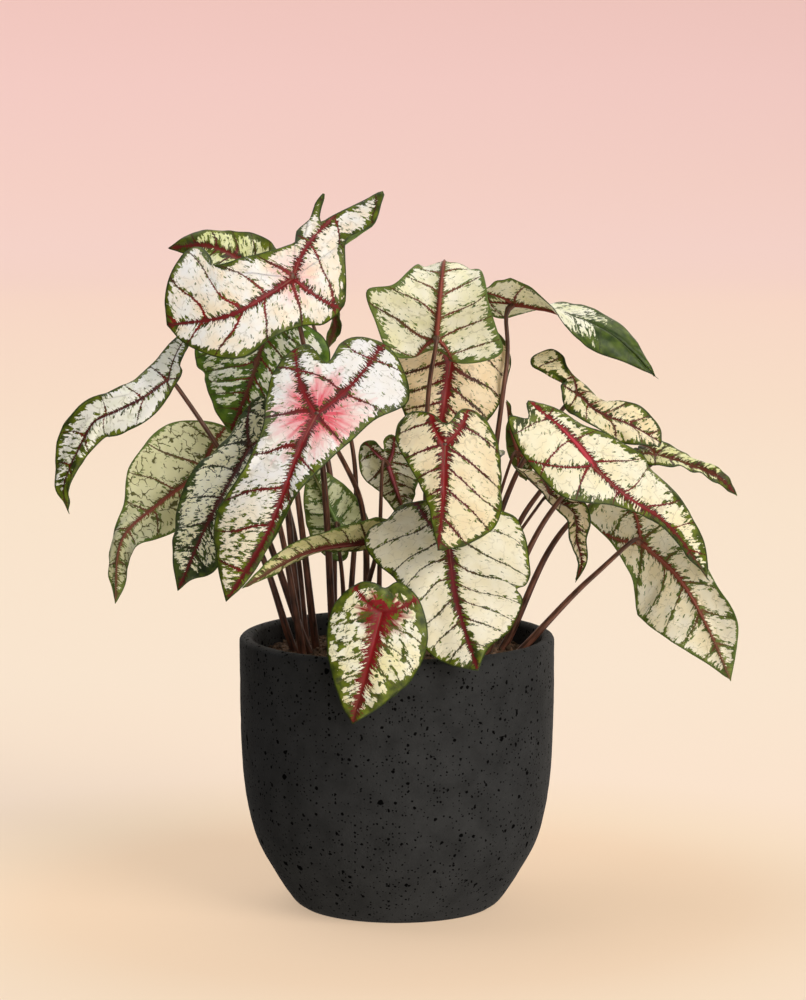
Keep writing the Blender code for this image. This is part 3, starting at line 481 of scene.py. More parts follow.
def blade_points(leaf, midrib, along, across, ring, turn):
    """Places on a blade's middle surface.

    Across the blade the surface is an arc: it leaves the midrib at the fold angle and turns down by the
    curl. The lobes behind the knuckle bend down from the line of the midrib. The wave grows towards the
    margin, ring being 0 at the knuckle and 1 there, and turn is the place round the outline.
    """
    right = (across >= 0).astype(int)

    def pair(name):
        return np.radians(np.array(leaf[name], float)[right])

    reach = np.abs(across)
    forward = np.clip(along, 0, 1)
    bow = reach / HEART_HALF_WIDTH
    fold = pair("fold") + forward**2 * pair("fold_tip")
    angle = fold - pair("curl") * bow * ARC
    slope = fold - pair("curl") * bow
    height, count, start = leaf["wave"]
    wave = height * MM / midrib.length * ring**2.5 * np.sin(tau * (count * turn + start))
    sign = np.where(right, 1, -1)
    sideways = sign * (mean_along(np.cos(angle)) * reach - wave * np.sin(slope))
    upward = mean_along(np.sin(angle)) * reach + wave * np.cos(slope)
    rear = np.clip(-along, 0, None) / HEART_REAR
    beside = np.clip(reach / LOBE_BLEND, 0, 1)
    bend = np.radians(np.mean(leaf["bend"])) * (1 - beside) + pair("bend") * beside
    bends = bend * (rear * ARC) ** 1.5
    drop = bend * rear**1.5
    back = HEART_REAR * rear * mean_along(np.cos(bends))
    down = HEART_REAR * rear * mean_along(np.sin(bends))
    ahead, across_way, up = (midrib.at(field, forward) for field in (midrib.ahead, midrib.across, midrib.up))
    tilted_up = up * np.cos(drop)[:, None] - ahead * np.sin(drop)[:, None]
    offset = (across_way * sideways[:, None] + tilted_up * upward[:, None]
              - ahead * back[:, None] - up * down[:, None])
    return midrib.at(midrib.line, forward) + offset * midrib.length


def point_normals(points, triangles):
    """The unit normal at each point, the mean of its triangles' normals by area."""
    corner = points[triangles]
    facing = np.cross(corner[:, 1] - corner[:, 0], corner[:, 2] - corner[:, 0])
    normals = np.zeros_like(points)
    for k in range(3):
        np.add.at(normals, triangles[:, k], facing)
    return unit(normals)


def stalk_line(leaf, midrib):
    """The stalk's path: up out of the soil, past its own places, to just under the knuckle."""
    root = np.array([*leaf["root"], 0]) * MM
    deep, surface, rise = (root + (0, 0, SOIL_LEVEL + lift) for lift in (-STALK_DEPTH, 0, STALK_RISE))
    under = -midrib.up[0]
    end = midrib.line[0] + under * (BLADE_THICKNESS / 2 + STALK_TOP_GAP)
    neck = end + under * NECK_DROP - midrib.ahead[0] * NECK_BACK
    via = [np.array(place) * MM for place in leaf["via"]] or [surface + (neck - surface) * MIDDLE_SHARE]
    line, _ = smooth_line([deep, surface, rise, *via, neck, end], SAMPLES)
    free, _ = spaced_evenly(line[line[:, 2] > SOIL_LEVEL], STALK_RINGS - 1)
    return np.vstack([line[:1], free]), under


def colour(code):
    """An sRGB hex code as a linear colour with alpha."""
    part = np.array([int(code[k:k + 2], 16) / 255 for k in (0, 2, 4)])
    linear = np.where(part <= 0.04045, part / 12.92, ((part + 0.055) / 1.055) ** 2.4)
    return (*linear.tolist(), 1)


def fill(tree, sockets, inputs):
    """Set sockets, each to a value, a colour's hex code or another node's output.

    inputs go in the order of the sockets, with None for one that stays as it is, or by their names.
    """
    for place, value in inputs.items() if isinstance(inputs, dict) else enumerate(inputs):
        if isinstance(value, bpy.types.NodeSocket):
            tree.links.new(value, sockets[place])
        elif value is not None:
            sockets[place].default_value = colour(value) if isinstance(value, str) else value


def add(tree, kind, inputs=(), out=0, **settings):
    """Add a node with its settings and inputs and give one of its outputs."""
    made = tree.nodes.new("ShaderNode" + kind)
    for name, value in settings.items():
        setattr(made, name, value)
    fill(tree, made.inputs, inputs)
    return made.outputs[out]


def new_material(name):
    """A material, what adds a node to its tree, and what sets sockets of its Principled shader."""
    material = bpy.data.materials.new(name)
    material.use_nodes = True
    tree = material.node_tree
    return material, partial(add, tree), partial(fill, tree, tree.nodes["Principled BSDF"].inputs)


def sine_noise(points, size, seed):
    """A smooth unevenness, mostly from -1 to 1: eight sines in seeded directions, wavelengths near size."""
    draw = np.random.default_rng(seed)
    total = np.zeros(points.shape[:-1])
    for _ in range(8):
        direction = unit(draw.normal(size=points.shape[-1]))
        total += np.sin(tau * (points @ direction / (size * draw.uniform(0.7, 1.5)) + draw.random()))
    return total / 3


def circle(sides):
    """The cosine and sine of each of a round form's places."""
    angles = tau * np.arange(sides) / sides
    return np.stack([np.cos(angles), np.sin(angles)], axis=-1)


def smooth_step(low, high, value):
    """0 below low and 1 above high, with an even S between."""
    part = np.clip((value - low) / (high - low), 0, 1)
    return part * part * (3 - 2 * part)


def grid_quads(rows, columns, start=0):
    """The quads of a grid whose rows close on themselves, numbered row by row from start."""
    here = np.arange(columns)
    after = (here + 1) % columns
    low = start + np.arange(rows - 1)[:, None] * columns
    quads = np.stack([low + here, low + after, low + columns + after, low + columns + here], axis=-1)
    return quads.reshape(-1, 4)


def fan(columns, pole, start, outward):
    """Triangles from a pole to a closed row that begins at start."""
    here = start + np.arange(columns)
    after = start + (np.arange(columns) + 1) % columns
    poles = np.full(columns, pole)
    return np.stack([poles, here, after] if outward else [poles, after, here], axis=1)


def closed_rows(rows, columns):
    """The faces of a grid's closed rows and of the fans to the two poles that come after them."""
    count = rows * columns
    return [grid_quads(rows, columns), fan(columns, count, 0, False),
            fan(columns, count + 1, count - columns, True)]


def carried(line, radii, sides, lobes=0.0):
    """A round profile carried along a line, closed by a pole at each end.

    At each place of the line the profile is place + radius * (cos(angle) * side + sin(angle) * other), where
    side and other stay square to the line and turn with it as little as they can. lobes makes it
    three-sided.
    """
    ahead = unit(np.gradient(line, axis=0))
    side = unit(np.cross(ahead[0], (0.3, 0.9, 0.2)))
    cosine, sine = circle(sides).T
    swell = 1 + lobes * np.cos(3 * tau * np.arange(sides) / sides)[:, None]
    rows = []
    for place, way, radius in zip(line, ahead, radii):
        side = unit(side - way * (side @ way))
        other = np.cross(way, side)
        rows.append(place + radius * swell * (np.outer(cosine, side) + np.outer(sine, other)))
    ends = [line[0] - ahead[0] * radii[0] * 0.4, line[-1] + ahead[-1] * radii[-1] * 0.4]
    return np.vstack([*rows, *ends]), closed_rows(len(line), sides)


def make_mesh(name, points, faces, fields=None, slots=None):
    """A smooth mesh from points and groups of faces; slots gives each group's material slot."""
    mesh = bpy.data.meshes.new(name)
    mesh.from_pydata(points.tolist(), [], [face for group in faces for face in group.tolist()])
    if slots:
        numbers = np.repeat(slots, [len(group) for group in faces]).astype(np.int32)
        mesh.polygons.foreach_set("material_index", numbers)
    for field, values in (fields or {}).items():
        kind, part = ("FLOAT", "value") if values.ndim == 1 else ("FLOAT_VECTOR", "vector")
        attribute = mesh.attributes.new(field, kind, "POINT")
        attribute.data.foreach_set(part, values.astype(np.float32).ravel())
    mesh.shade_smooth()
    mesh.update()
    return mesh


def place_object(name, data):
    """Put a mesh, a lamp or a camera in the scene."""
    thing = bpy.data.objects.new(name, data)
    bpy.context.collection.objects.link(thing)
    return thing


def place_piece(name, mesh, materials, slot, *nodes):
    """Put a finished mesh in the scene, riding on the root and standing for its solids."""
    for material in materials:
        mesh.materials.append(material)
    piece = place_object(name, mesh)
    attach(piece, "root")
    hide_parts(*nodes)


def edge_distance(places, outline):
    """The distance from each place to the nearest side of a closed outline."""
    side = np.roll(outline, -1, axis=0) - outline
    offset = places[:, None] - outline
    share = np.clip((offset * side).sum(axis=-1) / (side**2).sum(axis=-1), 0, 1)
    return np.linalg.norm(offset - share[..., None] * side, axis=-1).min(axis=1)


def lobe_heading(outline, sign, lobe_veins):
    """The angle from the midrib at which the vein into the lobe on one side ends, and how far it reaches.

    lobe_veins gives the two angles in degrees, right and left. The reach is most of the way to the outline.
    """
    heading = radians(lobe_veins[0 if sign > 0 else 1])
    lobe = outline[outline[:, 1] * sign > 0]
    angle = np.arctan2(np.abs(lobe[:, 1]), lobe[:, 0])
    return heading, 0.9 * np.linalg.norm(lobe[np.abs(angle - heading).argmin()])


def on_blade(x, y, outline, rows, rings):
    """The value at flat places of a field that is given at the knuckle and round each ring.

    The side of the outline that lies ahead of a place gives its share of the way round, and the reach of
    that side gives its ring. The value is mixed from the four corners of that cell.
    """
    grid = rows[1:].reshape(rings, len(outline), 3)
    grid = np.concatenate([np.broadcast_to(rows[0], (1, len(outline), 3)), grid])
    after = np.roll(outline, -1, axis=0)
    turned, turned_after = (loop[:, 0] * y[:, None] - loop[:, 1] * x[:, None] for loop in (outline, after))
    facing = outline[:, 0] * x[:, None] + outline[:, 1] * y[:, None] > 0
    ahead = (turned * turned_after <= 0) & facing
    side = len(outline) - 1 - ahead[:, ::-1].argmax(axis=1)
    pick = np.arange(len(x))
    span = turned[pick, side] - turned_after[pick, side]
    share = (turned[pick, side] / np.where(span == 0, 1, span))[:, None]
    limit = np.linalg.norm(outline[side] + share * (after[side] - outline[side]), axis=1)
    level = np.minimum(np.hypot(x, y) / limit, 1) * rings
    low = np.minimum(level.astype(int), rings - 1)
    part = (level - low)[:, None]
    beyond = (side + 1) % len(outline)
    inner, outer = (grid[k, side] * (1 - share) + grid[k, beyond] * share for k in (low, low + 1))
    return inner * (1 - part) + outer * part


def basal_vein(places, outline, lobe_veins):
    """The signed distance from the vein into each rear lobe, and the share of the way along that vein.

    The vein runs from the knuckle to near the far end of the lobe on its side. The distance is the radius
    times the angle between the place and the vein, which bows out a little on its way.
    """
    radius = np.linalg.norm(places, axis=1)
    angle = np.arctan2(np.abs(places[:, 1]), places[:, 0])
    distance = np.zeros(len(places))
    share = np.zeros(len(places))
    for sign in (1, -1):
        heading, reach = lobe_heading(outline, sign, lobe_veins)
        mine = places[:, 1] * sign >= 0
        along = radius[mine] / reach
        bowed = heading - BASAL_BOW * (1 - np.clip(along, 0, 1))
        distance[mine] = radius[mine] * np.clip(angle[mine] - bowed, -1, 1)
        share[mine] = along
    return distance, share


def lateral_veins(places, length, count, seed):
    """The lateral veins' phase, whole on each vein, and the millimetres that one step of it spans.

    A vein that leaves the trunk at a runs along u = a + (slope + fan * a) * s + bow * s^2, with u along the
    midrib and s to the side of it, as shares of its length. Solved for a, that is the phase. The veins
    drift a little, and those on the left start apart from those on the right.
    """
    drift = np.stack([sine_noise(places, DRIFT_SIZE, seed + k) for k in (0, 1)], axis=1)
    u, v = ((places + DRIFT * drift) / length).T
    s = np.abs(v)
    start = u - LATERAL_SLOPE * s - LATERAL_BOW * s**2
    spread = np.where(start > 0, LATERAL_FAN, LOBE_FAN)
    a = start / (1 + spread * s)
    phase = count * a + STAGGER * np.tanh(v / STAGGER_BLEND)
    slope_u = count / (1 + spread * s)
    slope_v = -slope_u * (LATERAL_SLOPE + 2 * LATERAL_BOW * s + spread * a)
    return phase, length / np.hypot(slope_u, slope_v)


def blade_relief(places, length, phase, reach, basal, ring, turn, seed):
    """The height of the upper face over the blade's even middle surface, in millimetres.

    The fields between the laterals swell as the sine of the phase, veins lie in grooves that are bell
    curves of the distance, and the margin ruffles in sines that grow with the ring.
    """
    x, y = places.T
    swell = np.abs(np.sin(pi * phase)) ** 0.8
    field = QUILT * swell * smooth_step(0, 0.2, reach) * (1 - smooth_step(0.7, 1, reach))
    middle = np.where(x > 0, np.abs(y), np.hypot(x, y))
    taper = 1 - 0.7 * np.clip(x / length, 0, 1)
    bells = np.exp(-(middle / GROOVE_WIDTH) ** 2) + 0.7 * np.exp(-(basal / GROOVE_WIDTH) ** 2)
    around = np.stack([np.cos(tau * turn), np.sin(tau * turn)], axis=1)
    ruffle = RUFFLE * ring**5 * sine_noise(around, RUFFLE_SIZE, seed)
    grain = GRAIN * sine_noise(places, GRAIN_SIZE, seed + 5)
    return field - GROOVE * taper * bells + ruffle + grain


def rib_lines(outline, length, lobe_veins):
    """The flat places and radii of the ribs below a blade: its midrib, then the vein into each rear lobe."""
    radii = RIB_RADIUS * (1 - 0.75 * np.linspace(0, 1, RIB_RINGS) ** 0.8)
    yield np.linspace(0, 0.97, RIB_RINGS) * length, np.zeros(RIB_RINGS), radii
    way = np.linspace(0, 0.9, RIB_RINGS)
    for sign in (1, -1):
        heading, reach = lobe_heading(outline, sign, lobe_veins)
        turned = heading - BASAL_BOW * (1 - way)
        yield way * reach * np.cos(turned), sign * way * reach * np.sin(turned), 0.75 * radii


def blade_piece(number, leaf, midrib, looks):
    """One blade: two faces, a band round the margin and the ribs that stand out below.

    It thins to half at the margin. reach is 0 on the trunk veins and nearly 1 at the margin.
    """
    hidden = int(number) >= FIRST_HIDDEN
    around, rings = (HIDDEN_AROUND, HIDDEN_RINGS) if hidden else (AROUND, RINGS)
    seed = 10 * int(number)
    outline = smooth_outline(leaf["rim"], around // 2)
    outline[:, 1] *= leaf["wide"]
    outline[:, 0] = np.where(outline[:, 0] < 0, outline[:, 0] * leaf["lobe"], outline[:, 0])
    shares = np.arange(1, rings + 1) / rings
    flat = np.vstack([[[0, 0]], (shares[:, None, None] * outline).reshape(-1, 2)])
    ring = np.concatenate([[0], np.repeat(shares, around)])
    turn = np.concatenate([[0], np.tile(np.arange(around) / around, rings)])

    length = midrib.length / MM
    places = flat * length
    outline = outline * length
    lobe_veins = looks[0]["lobe_veins"]
    edge = edge_distance(places, outline)
    basal, basal_share = basal_vein(places, outline, lobe_veins)
    trunk = np.where(places[:, 0] > 0, np.abs(places[:, 1]), np.abs(basal))
    trunk = np.minimum(trunk, np.abs(basal))
    reach = trunk / (trunk + edge + 0.5)
    phase, gap = lateral_veins(places, length, looks[0]["laterals"], seed)

    middle = blade_points(leaf, midrib, flat[:, 0], flat[:, 1], ring, turn)
    quads = grid_quads(rings, around, 1)[:, ::-1]
    core = fan(around, 0, 1, True)
    normals = point_normals(middle, np.vstack([core, quads[:, :3], quads[:, [0, 2, 3]]]))
    relief = blade_relief(places, length, phase, reach, basal, ring, turn, seed)
    middle = middle + normals * relief[:, None] * MM
    half = BLADE_THICKNESS / 2 * (1 - 0.5 * ring**8)[:, None]
    points = np.vstack([middle + normals * half, middle - normals * half])
    total = len(middle)
    last = total - around + np.arange(around)
    after = np.roll(last, -1)
    band = np.stack([last, last + total, after + total, after], axis=1)
    faces = [core, quads, core[:, ::-1] + total, quads[:, ::-1] + total, band]
    slots = [0, 0, 1, 1, 0]
    fields = {
        "flat": np.column_stack([places, places[:, 0] / length]),
        "vein": np.column_stack([phase, gap, reach]),
        "basal": np.column_stack([basal, basal_share, edge]),
    }
    fields = {name: np.vstack([values, values]) for name, values in fields.items()}

    for x, y, radii in rib_lines(outline, length, lobe_veins):
        line, below = (on_blade(x, y, outline, rows, rings) for rows in (middle, normals))
        line = line - unit(below) * (BLADE_THICKNESS / 2 + RIB_SUNK * radii[:, None])
        tube, groups = carried(line, radii, RIB_SIDES)
        faces += [group + len(points) for group in groups]
        slots += [1] * len(groups)
        points = np.vstack([points, tube])
        rows = {"flat": [x, y, x / length], "vein": [0 * x, 0 * x, 0 * x],
                "basal": [0 * x, np.hypot(x, y) / length, 0 * x + FAR_FROM_EDGE]}
        for field, columns in rows.items():
            values = np.repeat(np.column_stack(columns), RIB_SIDES, axis=0)
            fields[field] = np.vstack([fields[field], values, values[:1], values[-1:]])
    mesh = make_mesh(f"leaf_{number}", points, faces, fields, slots)
    materials = [blade_material(f"caladium blade {number}, {face}", look, seed)
                 for face, look in zip(("upper face", "underside"), looks)]
    place_piece(f"leaf_{number}", mesh, materials, "blade", f"blade_{number}")


def blade_material(name, look, seed):
    """A living leaf: a satin, slightly translucent skin, painted by its veins.

    The green breaks into the pale ground where a sum of terms, high at the margin and beside the veins,
    passes a fine noise that is drawn out along the laterals, so its edge is hard and flecked.
    """
    material, node, set_shader = new_material(name)
    (x, y, progress), (phase, gap, reach), (basal, share, edge) = (
        node("SeparateXYZ", [node("Attribute", out=1, attribute_name=field)]).node.outputs
        for field in ("flat", "vein", "basal"))
    layer = NOISE_LAYER * seed
    flat = node("CombineXYZ", [x, y])
    place = node("CombineXYZ", [x, y, layer])
    radius = node("VectorMath", [flat], out=1, operation="LENGTH")
    side = node("Math", [y], operation="ABSOLUTE")
    forward = node("Math", [side, -0.5, x], operation="MULTIPLY_ADD")

    def drawn_out(where, stretch, detail, rough, low, high, tall=1.0, **settings):
        """A noise drawn out in one direction, 0 where it is below low and tall where it is above high."""
        where = node("VectorMath", [where, stretch], operation="MULTIPLY")
        noise = node("TexNoise", {"Vector": where, "Scale": 1.0, "Detail": detail, "Roughness": rough})
        return node("MapRange", [noise, low, high, 0.0, tall], **settings)

    # Thick veins: a half width that tapers, edged with spikes square to the vein, 0.7 mm apart
    behind = node("Math", [x, 0.0], operation="MINIMUM")
    away = node("VectorMath", [node("CombineXYZ", [side, behind])], out=1, operation="LENGTH")
    thick = node("MapRange", [progress, 0.0, 1.0, look["rib_width"], 0.25 * look["rib_width"]], **SMOOTH)
    at_middle = node("Math", [thick, away], operation="SUBTRACT")
    right, left = look["basal_width"]
    wide = node("Mix", [node("Math", [y, 0.0], operation="GREATER_THAN"), None, left, right])
    thick = node("MapRange", [share, 0.0, 1.0, 1.0, 0.2], **SMOOTH)
    thick = node("Math", [thick, wide], operation="MULTIPLY")
    at_basal = node("Math", [thick, node("Math", [basal], operation="ABSOLUTE")], operation="SUBTRACT")
    bare = node("Math", [at_middle, at_basal], operation="MAXIMUM")
    nearer = node("Math", [at_basal, at_middle], operation="GREATER_THAN")
    run = node("Mix", [nearer, None, forward, radius])
    tall = node("MapRange", [progress, 0.0, 1.0, look["rib_spike"], 0.5 * look["rib_spike"]])
    less = node("Mix", [nearer, None, 1.0, node("Math", [wide, 1.0], operation="MINIMUM")])
    tall = node("Math", [tall, less], operation="MULTIPLY")
    spike = drawn_out(node("CombineXYZ", [run, bare, layer]), (1.5, 0.22, 1.0), 2.0, 0.6, 0.38, 0.66, tall)
    inside = node("Math", [bare, spike], operation="ADD")
    rib = node("MapRange", [inside, -0.1, 0.16], **SMOOTH)
    fringe = node("Math", [spike, 2.0, bare], operation="MULTIPLY_ADD")
    fringe = node("MapRange", [fringe, -0.25, 0.0], **SMOOTH)

    # Lateral veins, thinner towards the margin; the pair at the knuckle is thicker
    off = node("Math", [node("Math", [phase, 0.5], operation="PINGPONG"), gap], operation="MULTIPLY")
    first = node("MapRange", [node("Math", [phase], operation="ABSOLUTE"), 0.5, 0.35, 1.0, 1.6], **SMOOTH)
    thick = node("MapRange", [reach, 0.0, 1.0, 1.25 * look["lateral_width"], 0.3 * look["lateral_width"]])
    thick = node("Math", [thick, first], operation="MULTIPLY")
    tall = node("MapRange", [reach, 0.0, 1.0, look["lateral_spike"], 0.5 * look["lateral_spike"]])
    spike = drawn_out(place, (0.3, 1.5, 1.0), 2.0, 0.65, 0.46, 0.68, tall)
    at_lateral = node("Math", [node("Math", [thick, off], operation="SUBTRACT"), spike], operation="ADD")
    lateral = node("MapRange", [at_lateral, -0.08, 0.14], **SMOOTH)

    # The net between them: bent walls of cells 5 mm wide, broken up
    bent = node("TexNoise", {"Vector": place, "Scale": 0.33, "Detail": 2.0}, out=1)
    cells = node("VectorMath", [place, (0.2, 0.15, 1.0)], operation="MULTIPLY")
    cells = node("VectorMath", [bent, (0.8, 0.8, 0.0), cells], operation="MULTIPLY_ADD")
    cells = node("TexVoronoi", {"Vector": cells, "Scale": 1.0}, feature="DISTANCE_TO_EDGE")
    faint = node("TexNoise", {"Vector": place, "Scale": 0.3, "Detail": 1.0})
    faint = node("MapRange", [faint, 0.42, 0.56, 0.0, look["net_strength"]])
    net = node("Math", [node("MapRange", [cells, 0.06, 0.015]), faint], operation="MULTIPLY")

    # Green: flecks lying along the laterals
    across, along = look["fleck"]
    fleck = node("CombineXYZ", [forward, y, FLECK_LAYER * seed])
    fleck = drawn_out(fleck, (1 / across, 1 / along, 1.0), 4.0, 0.62, 0.3, 0.7, **SMOOTH)
    margin = node("TexNoise", {"Vector": place, "Scale": 0.07, "Detail": 1.0})
    margin = node("MapRange", [margin, 0.3, 0.7, 0.45 * look["margin"], 1.9 * look["margin"]])
    amount = node("MapRange", [edge, margin, 0.0, 0.0, look["margin_amount"]], **SMOOTH)
    least = look["base"]
    for term in (node("MapRange", [inside, -5.0, 0.0, 0.0, look["beside_rib"]], **SMOOTH),
                 node("MapRange", [at_lateral, -2.6, 0.0, least, least + look["beside_lateral"]]),
                 node("MapRange", [progress, 0.3, 0.8, 0.0, look["tip_green"]], **SMOOTH)):
        amount = node("Math", [amount, term], operation="ADD")
    green = node("MapRange", [node("Math", [amount, fleck], operation="SUBTRACT"), -0.03, 0.05])

    # What is mixed from two colours: the ground, the green, the laterals and the thick veins. The thick
    # veins' lighter middle is partly their own pink and partly a painted highlight.
    cloud, leafy = (node("TexNoise", {"Vector": place, "Scale": scale, "Detail": detail})
                    for scale, detail in ((0.09, 2.0), (0.2, 3.0)))
    ground, leafy, vein, rib_middle_and_highlight = (
        node("Mix", {0: part, 6: look[one], 7: look[other]}, **BLEND) for part, one, other in (
            (node("MapRange", [cloud, 0.35, 0.65]), "ground", "ground_deep"),
            (node("MapRange", [leafy, 0.35, 0.65]), "green", "green_dark"),
            (node("MapRange", [reach, look["lateral_red"], 0.0], **SMOOTH), "lateral", "lateral_root"),
            (node("MapRange", [bare, 0.2, 1.0], **SMOOTH), "rib", "rib_heart_and_highlight")))
    rib_middle_and_highlight = node("Mix", {0: node("MapRange", [progress, 0.35, 0.95]), 6: rib_middle_and_highlight, 7: look["rib_tip"]}, **BLEND)

    # The coats, from the ground up
    coats = []
    if look["tip_ground"]:
        late = node("Math", [cloud, 0.5, progress], operation="MULTIPLY_ADD")
        coats.append((node("MapRange", [late, 0.55, 0.95]), look["tip_ground"]))
    if look["blush_amount"]:
        deep = node("CombineXYZ", [0.0, 0.0, node("Math", [radius, 0.06, layer], operation="MULTIPLY_ADD")])
        rays = node("VectorMath", [flat], operation="NORMALIZE")
        rays = node("VectorMath", [rays, (4.5, 4.5, 0.0), deep], operation="MULTIPLY_ADD")
        rays = node("TexNoise", {"Vector": rays, "Scale": 1.0, "Detail": 4.0, "Roughness": 0.6})
        glow = node("Math", [rays, look["blush_ray"], radius], operation="MULTIPLY_ADD")
        rest = 0.5 * look["blush_ray"]
        glow = node("MapRange", [glow, look["blush_radius"] + rest, rest, 0.0, look["blush_amount"]])
        coats.append((glow, look["blush"]))
    coats += [(net, look["net"]), (green, leafy), (lateral, vein), (fringe, look["fringe"]), (rib, rib_middle_and_highlight),
              (node("MapRange", [edge, 0.9, 0.35]), look["edge"])]
    painted = ground
    for part, paint in coats:
        painted = node("Mix", {0: part, 6: painted, 7: paint}, **BLEND)

    # Veins are sunk a little, and the skin has a fine grain of cells
    grain = node("TexNoise", {"Vector": place, "Scale": 1.7, "Detail": 2.0})
    sunk = node("Math", [rib, node("Math", [lateral, 0.6], operation="MULTIPLY")], operation="MAXIMUM")
    height = node("Math", [node("Math", [grain, 0.25], operation="MULTIPLY"), sunk], operation="SUBTRACT")
    bump = node("Bump", {"Strength": 0.35, "Distance": 0.0004, "Height": height})
    set_shader({"Base Color": painted, "Roughness": look["roughness"], "IOR": 1.45, "Normal": bump,
                "Specular IOR Level": 0.35, "Subsurface Weight": LEAF_GLOW,
                "Subsurface Radius": (1.0, 1.0, 0.85), "Subsurface Scale": LEAF_DEPTH})
    return material


def stalk_material():
    """Brown-red caladium stalk: a smooth waxy skin with fine dark streaks along it, paler in places."""
    material, node, set_shader = new_material("brown-red waxy stalk skin")
    run = node("Attribute", out=1, attribute_name="run")
    streak = node("TexNoise", {"Vector": run, "Scale": 1.0, "Detail": 3.0})
    streak = node("MapRange", [streak, 0.35, 0.65])
    tint = node("Mix", {0: streak, 6: "38231A", 7: "7F5240"}, **BLEND)
    set_shader({"Base Color": tint, "Roughness": 0.38, "IOR": 1.45})
    return material


def stalk_piece(number, leaf, midrib, material):
    """A stalk from in the soil up into the blade's underside, flared where it meets the ribs.

    Up to the joint it is one cubic curve that leaves the soil at a slant and meets the solid's own path.
    """
    line, under = stalk_line(leaf, midrib)
    surface = line[0] + (0, 0, STALK_DEPTH)
    top = midrib.line[0] + under * STALK_END_DEPTH
    joint = line[STALK_JOINT]
    ahead = unit(line[STALK_JOINT + 1] - line[STALK_JOINT - 1]) * np.linalg.norm(joint - surface) / 3
    slant = (joint - surface) / 3
    t = np.linspace(0, 1, STALK_JOINT)[:, None]
    rising = ((1 - t) ** 3 * surface + 3 * (1 - t) ** 2 * t * (surface + slant)
              + 3 * (1 - t) * t**2 * (joint - ahead) + t**3 * joint)
    line = np.vstack([surface - unit(slant) * STALK_DEPTH, rising, line[STALK_JOINT + 1:-1], top])
    line, _ = spaced_evenly(line, STALK_RINGS)
    share = np.linspace(0, 1, STALK_RINGS)
    base = (1 - share) ** 1.5
    radius = (STALK_BASE_RADIUS * base + STALK_TOP_RADIUS * (1 - base)) * leaf["slim"] * STALK_TAPER
    radius = radius + STALK_FLARE * smooth_step(FLARE_START, 1, share)
    points, faces = carried(line, radius, STALK_SIDES, STALK_LOBES)
    run = np.zeros((len(points), 3))
    steps = np.concatenate([[0], np.cumsum(np.linalg.norm(np.diff(line, axis=0), axis=1))]) / MM
    run[:-2, 0] = np.repeat(steps / STREAK_LENGTH, STALK_SIDES)
    run[:-2, 1:] = np.tile(circle(STALK_SIDES) * STREAKS_ROUND, (STALK_RINGS, 1))
    run[:-2, 2] += int(number)
    run[-2:] = run[[0, -3]]
    mesh = make_mesh(f"stem_{number}", points, faces, {"run": run})
    place_piece(f"stem_{number}", mesh, [material], "stalk", f"stalk_{number}")


def turned_surface(profile, sides, bulge=None):
    """A profile of radius and height, from pole to pole, turned round +Z; bulge moves a place outwards."""
    rings = profile[1:-1, None]
    heights = np.broadcast_to(rings[..., 1:], (len(rings), sides, 1))
    rows = np.concatenate([rings[..., :1] * circle(sides), heights], axis=-1)
    if bulge:
        rows = rows + bulge(rows)
    poles = [(0, 0, height) for height in profile[[0, -1], 1]]
    return np.vstack([rows.reshape(-1, 3), poles]), closed_rows(len(rows), sides)


def inner_wall(gap):
    """The pot's inside from the corner of its floor to its lip, drawn in and lifted by a gap."""
    coarse, _ = smooth_line(POT_WALL_PLACES, POT_INNER_ROWS)
    inner = coarse[coarse[:, 1] > POT_FLOOR + POT_CORNER_HEIGHT] - (POT_WALL + gap, -gap)
    return np.vstack([[inner[0, 0] - POT_CORNER_WIDTH, POT_FLOOR + gap], inner])


def pot_profile():
    """The pot's outline from the middle of its foot over the lip to the middle of its floor."""
    outer, _ = smooth_line(POT_WALL_PLACES, POT_WALL_ROWS)
    half = POT_WALL / 2
    angles = np.linspace(0, pi, 14)[1:-1]
    lip = np.column_stack([POT_RADIUS - half + half * np.cos(angles),
                           POT_HEIGHT - LIP_RADIUS + LIP_RADIUS * np.sin(angles)])
    foot = [[0, 0], [POT_FOOT_RADIUS - FOOT_RING, 0]]
    return np.vstack([foot, outer, lip, inner_wall(0)[::-1], [0, POT_FLOOR]])


def cast_unevenness(rows):
    """What the mould left in the cement: waves of 0.12 mm over 40 mm and of 0.06 mm over 9 mm, none at the
    foot.
    """
    height = 0.12 * sine_noise(rows / MM, 40, 3) + 0.06 * sine_noise(rows / MM, 9, 4)
    height = height * smooth_step(0.001, 0.006, rows[..., 2])
    return unit(rows * (1, 1, 0)) * height[..., None] * MM


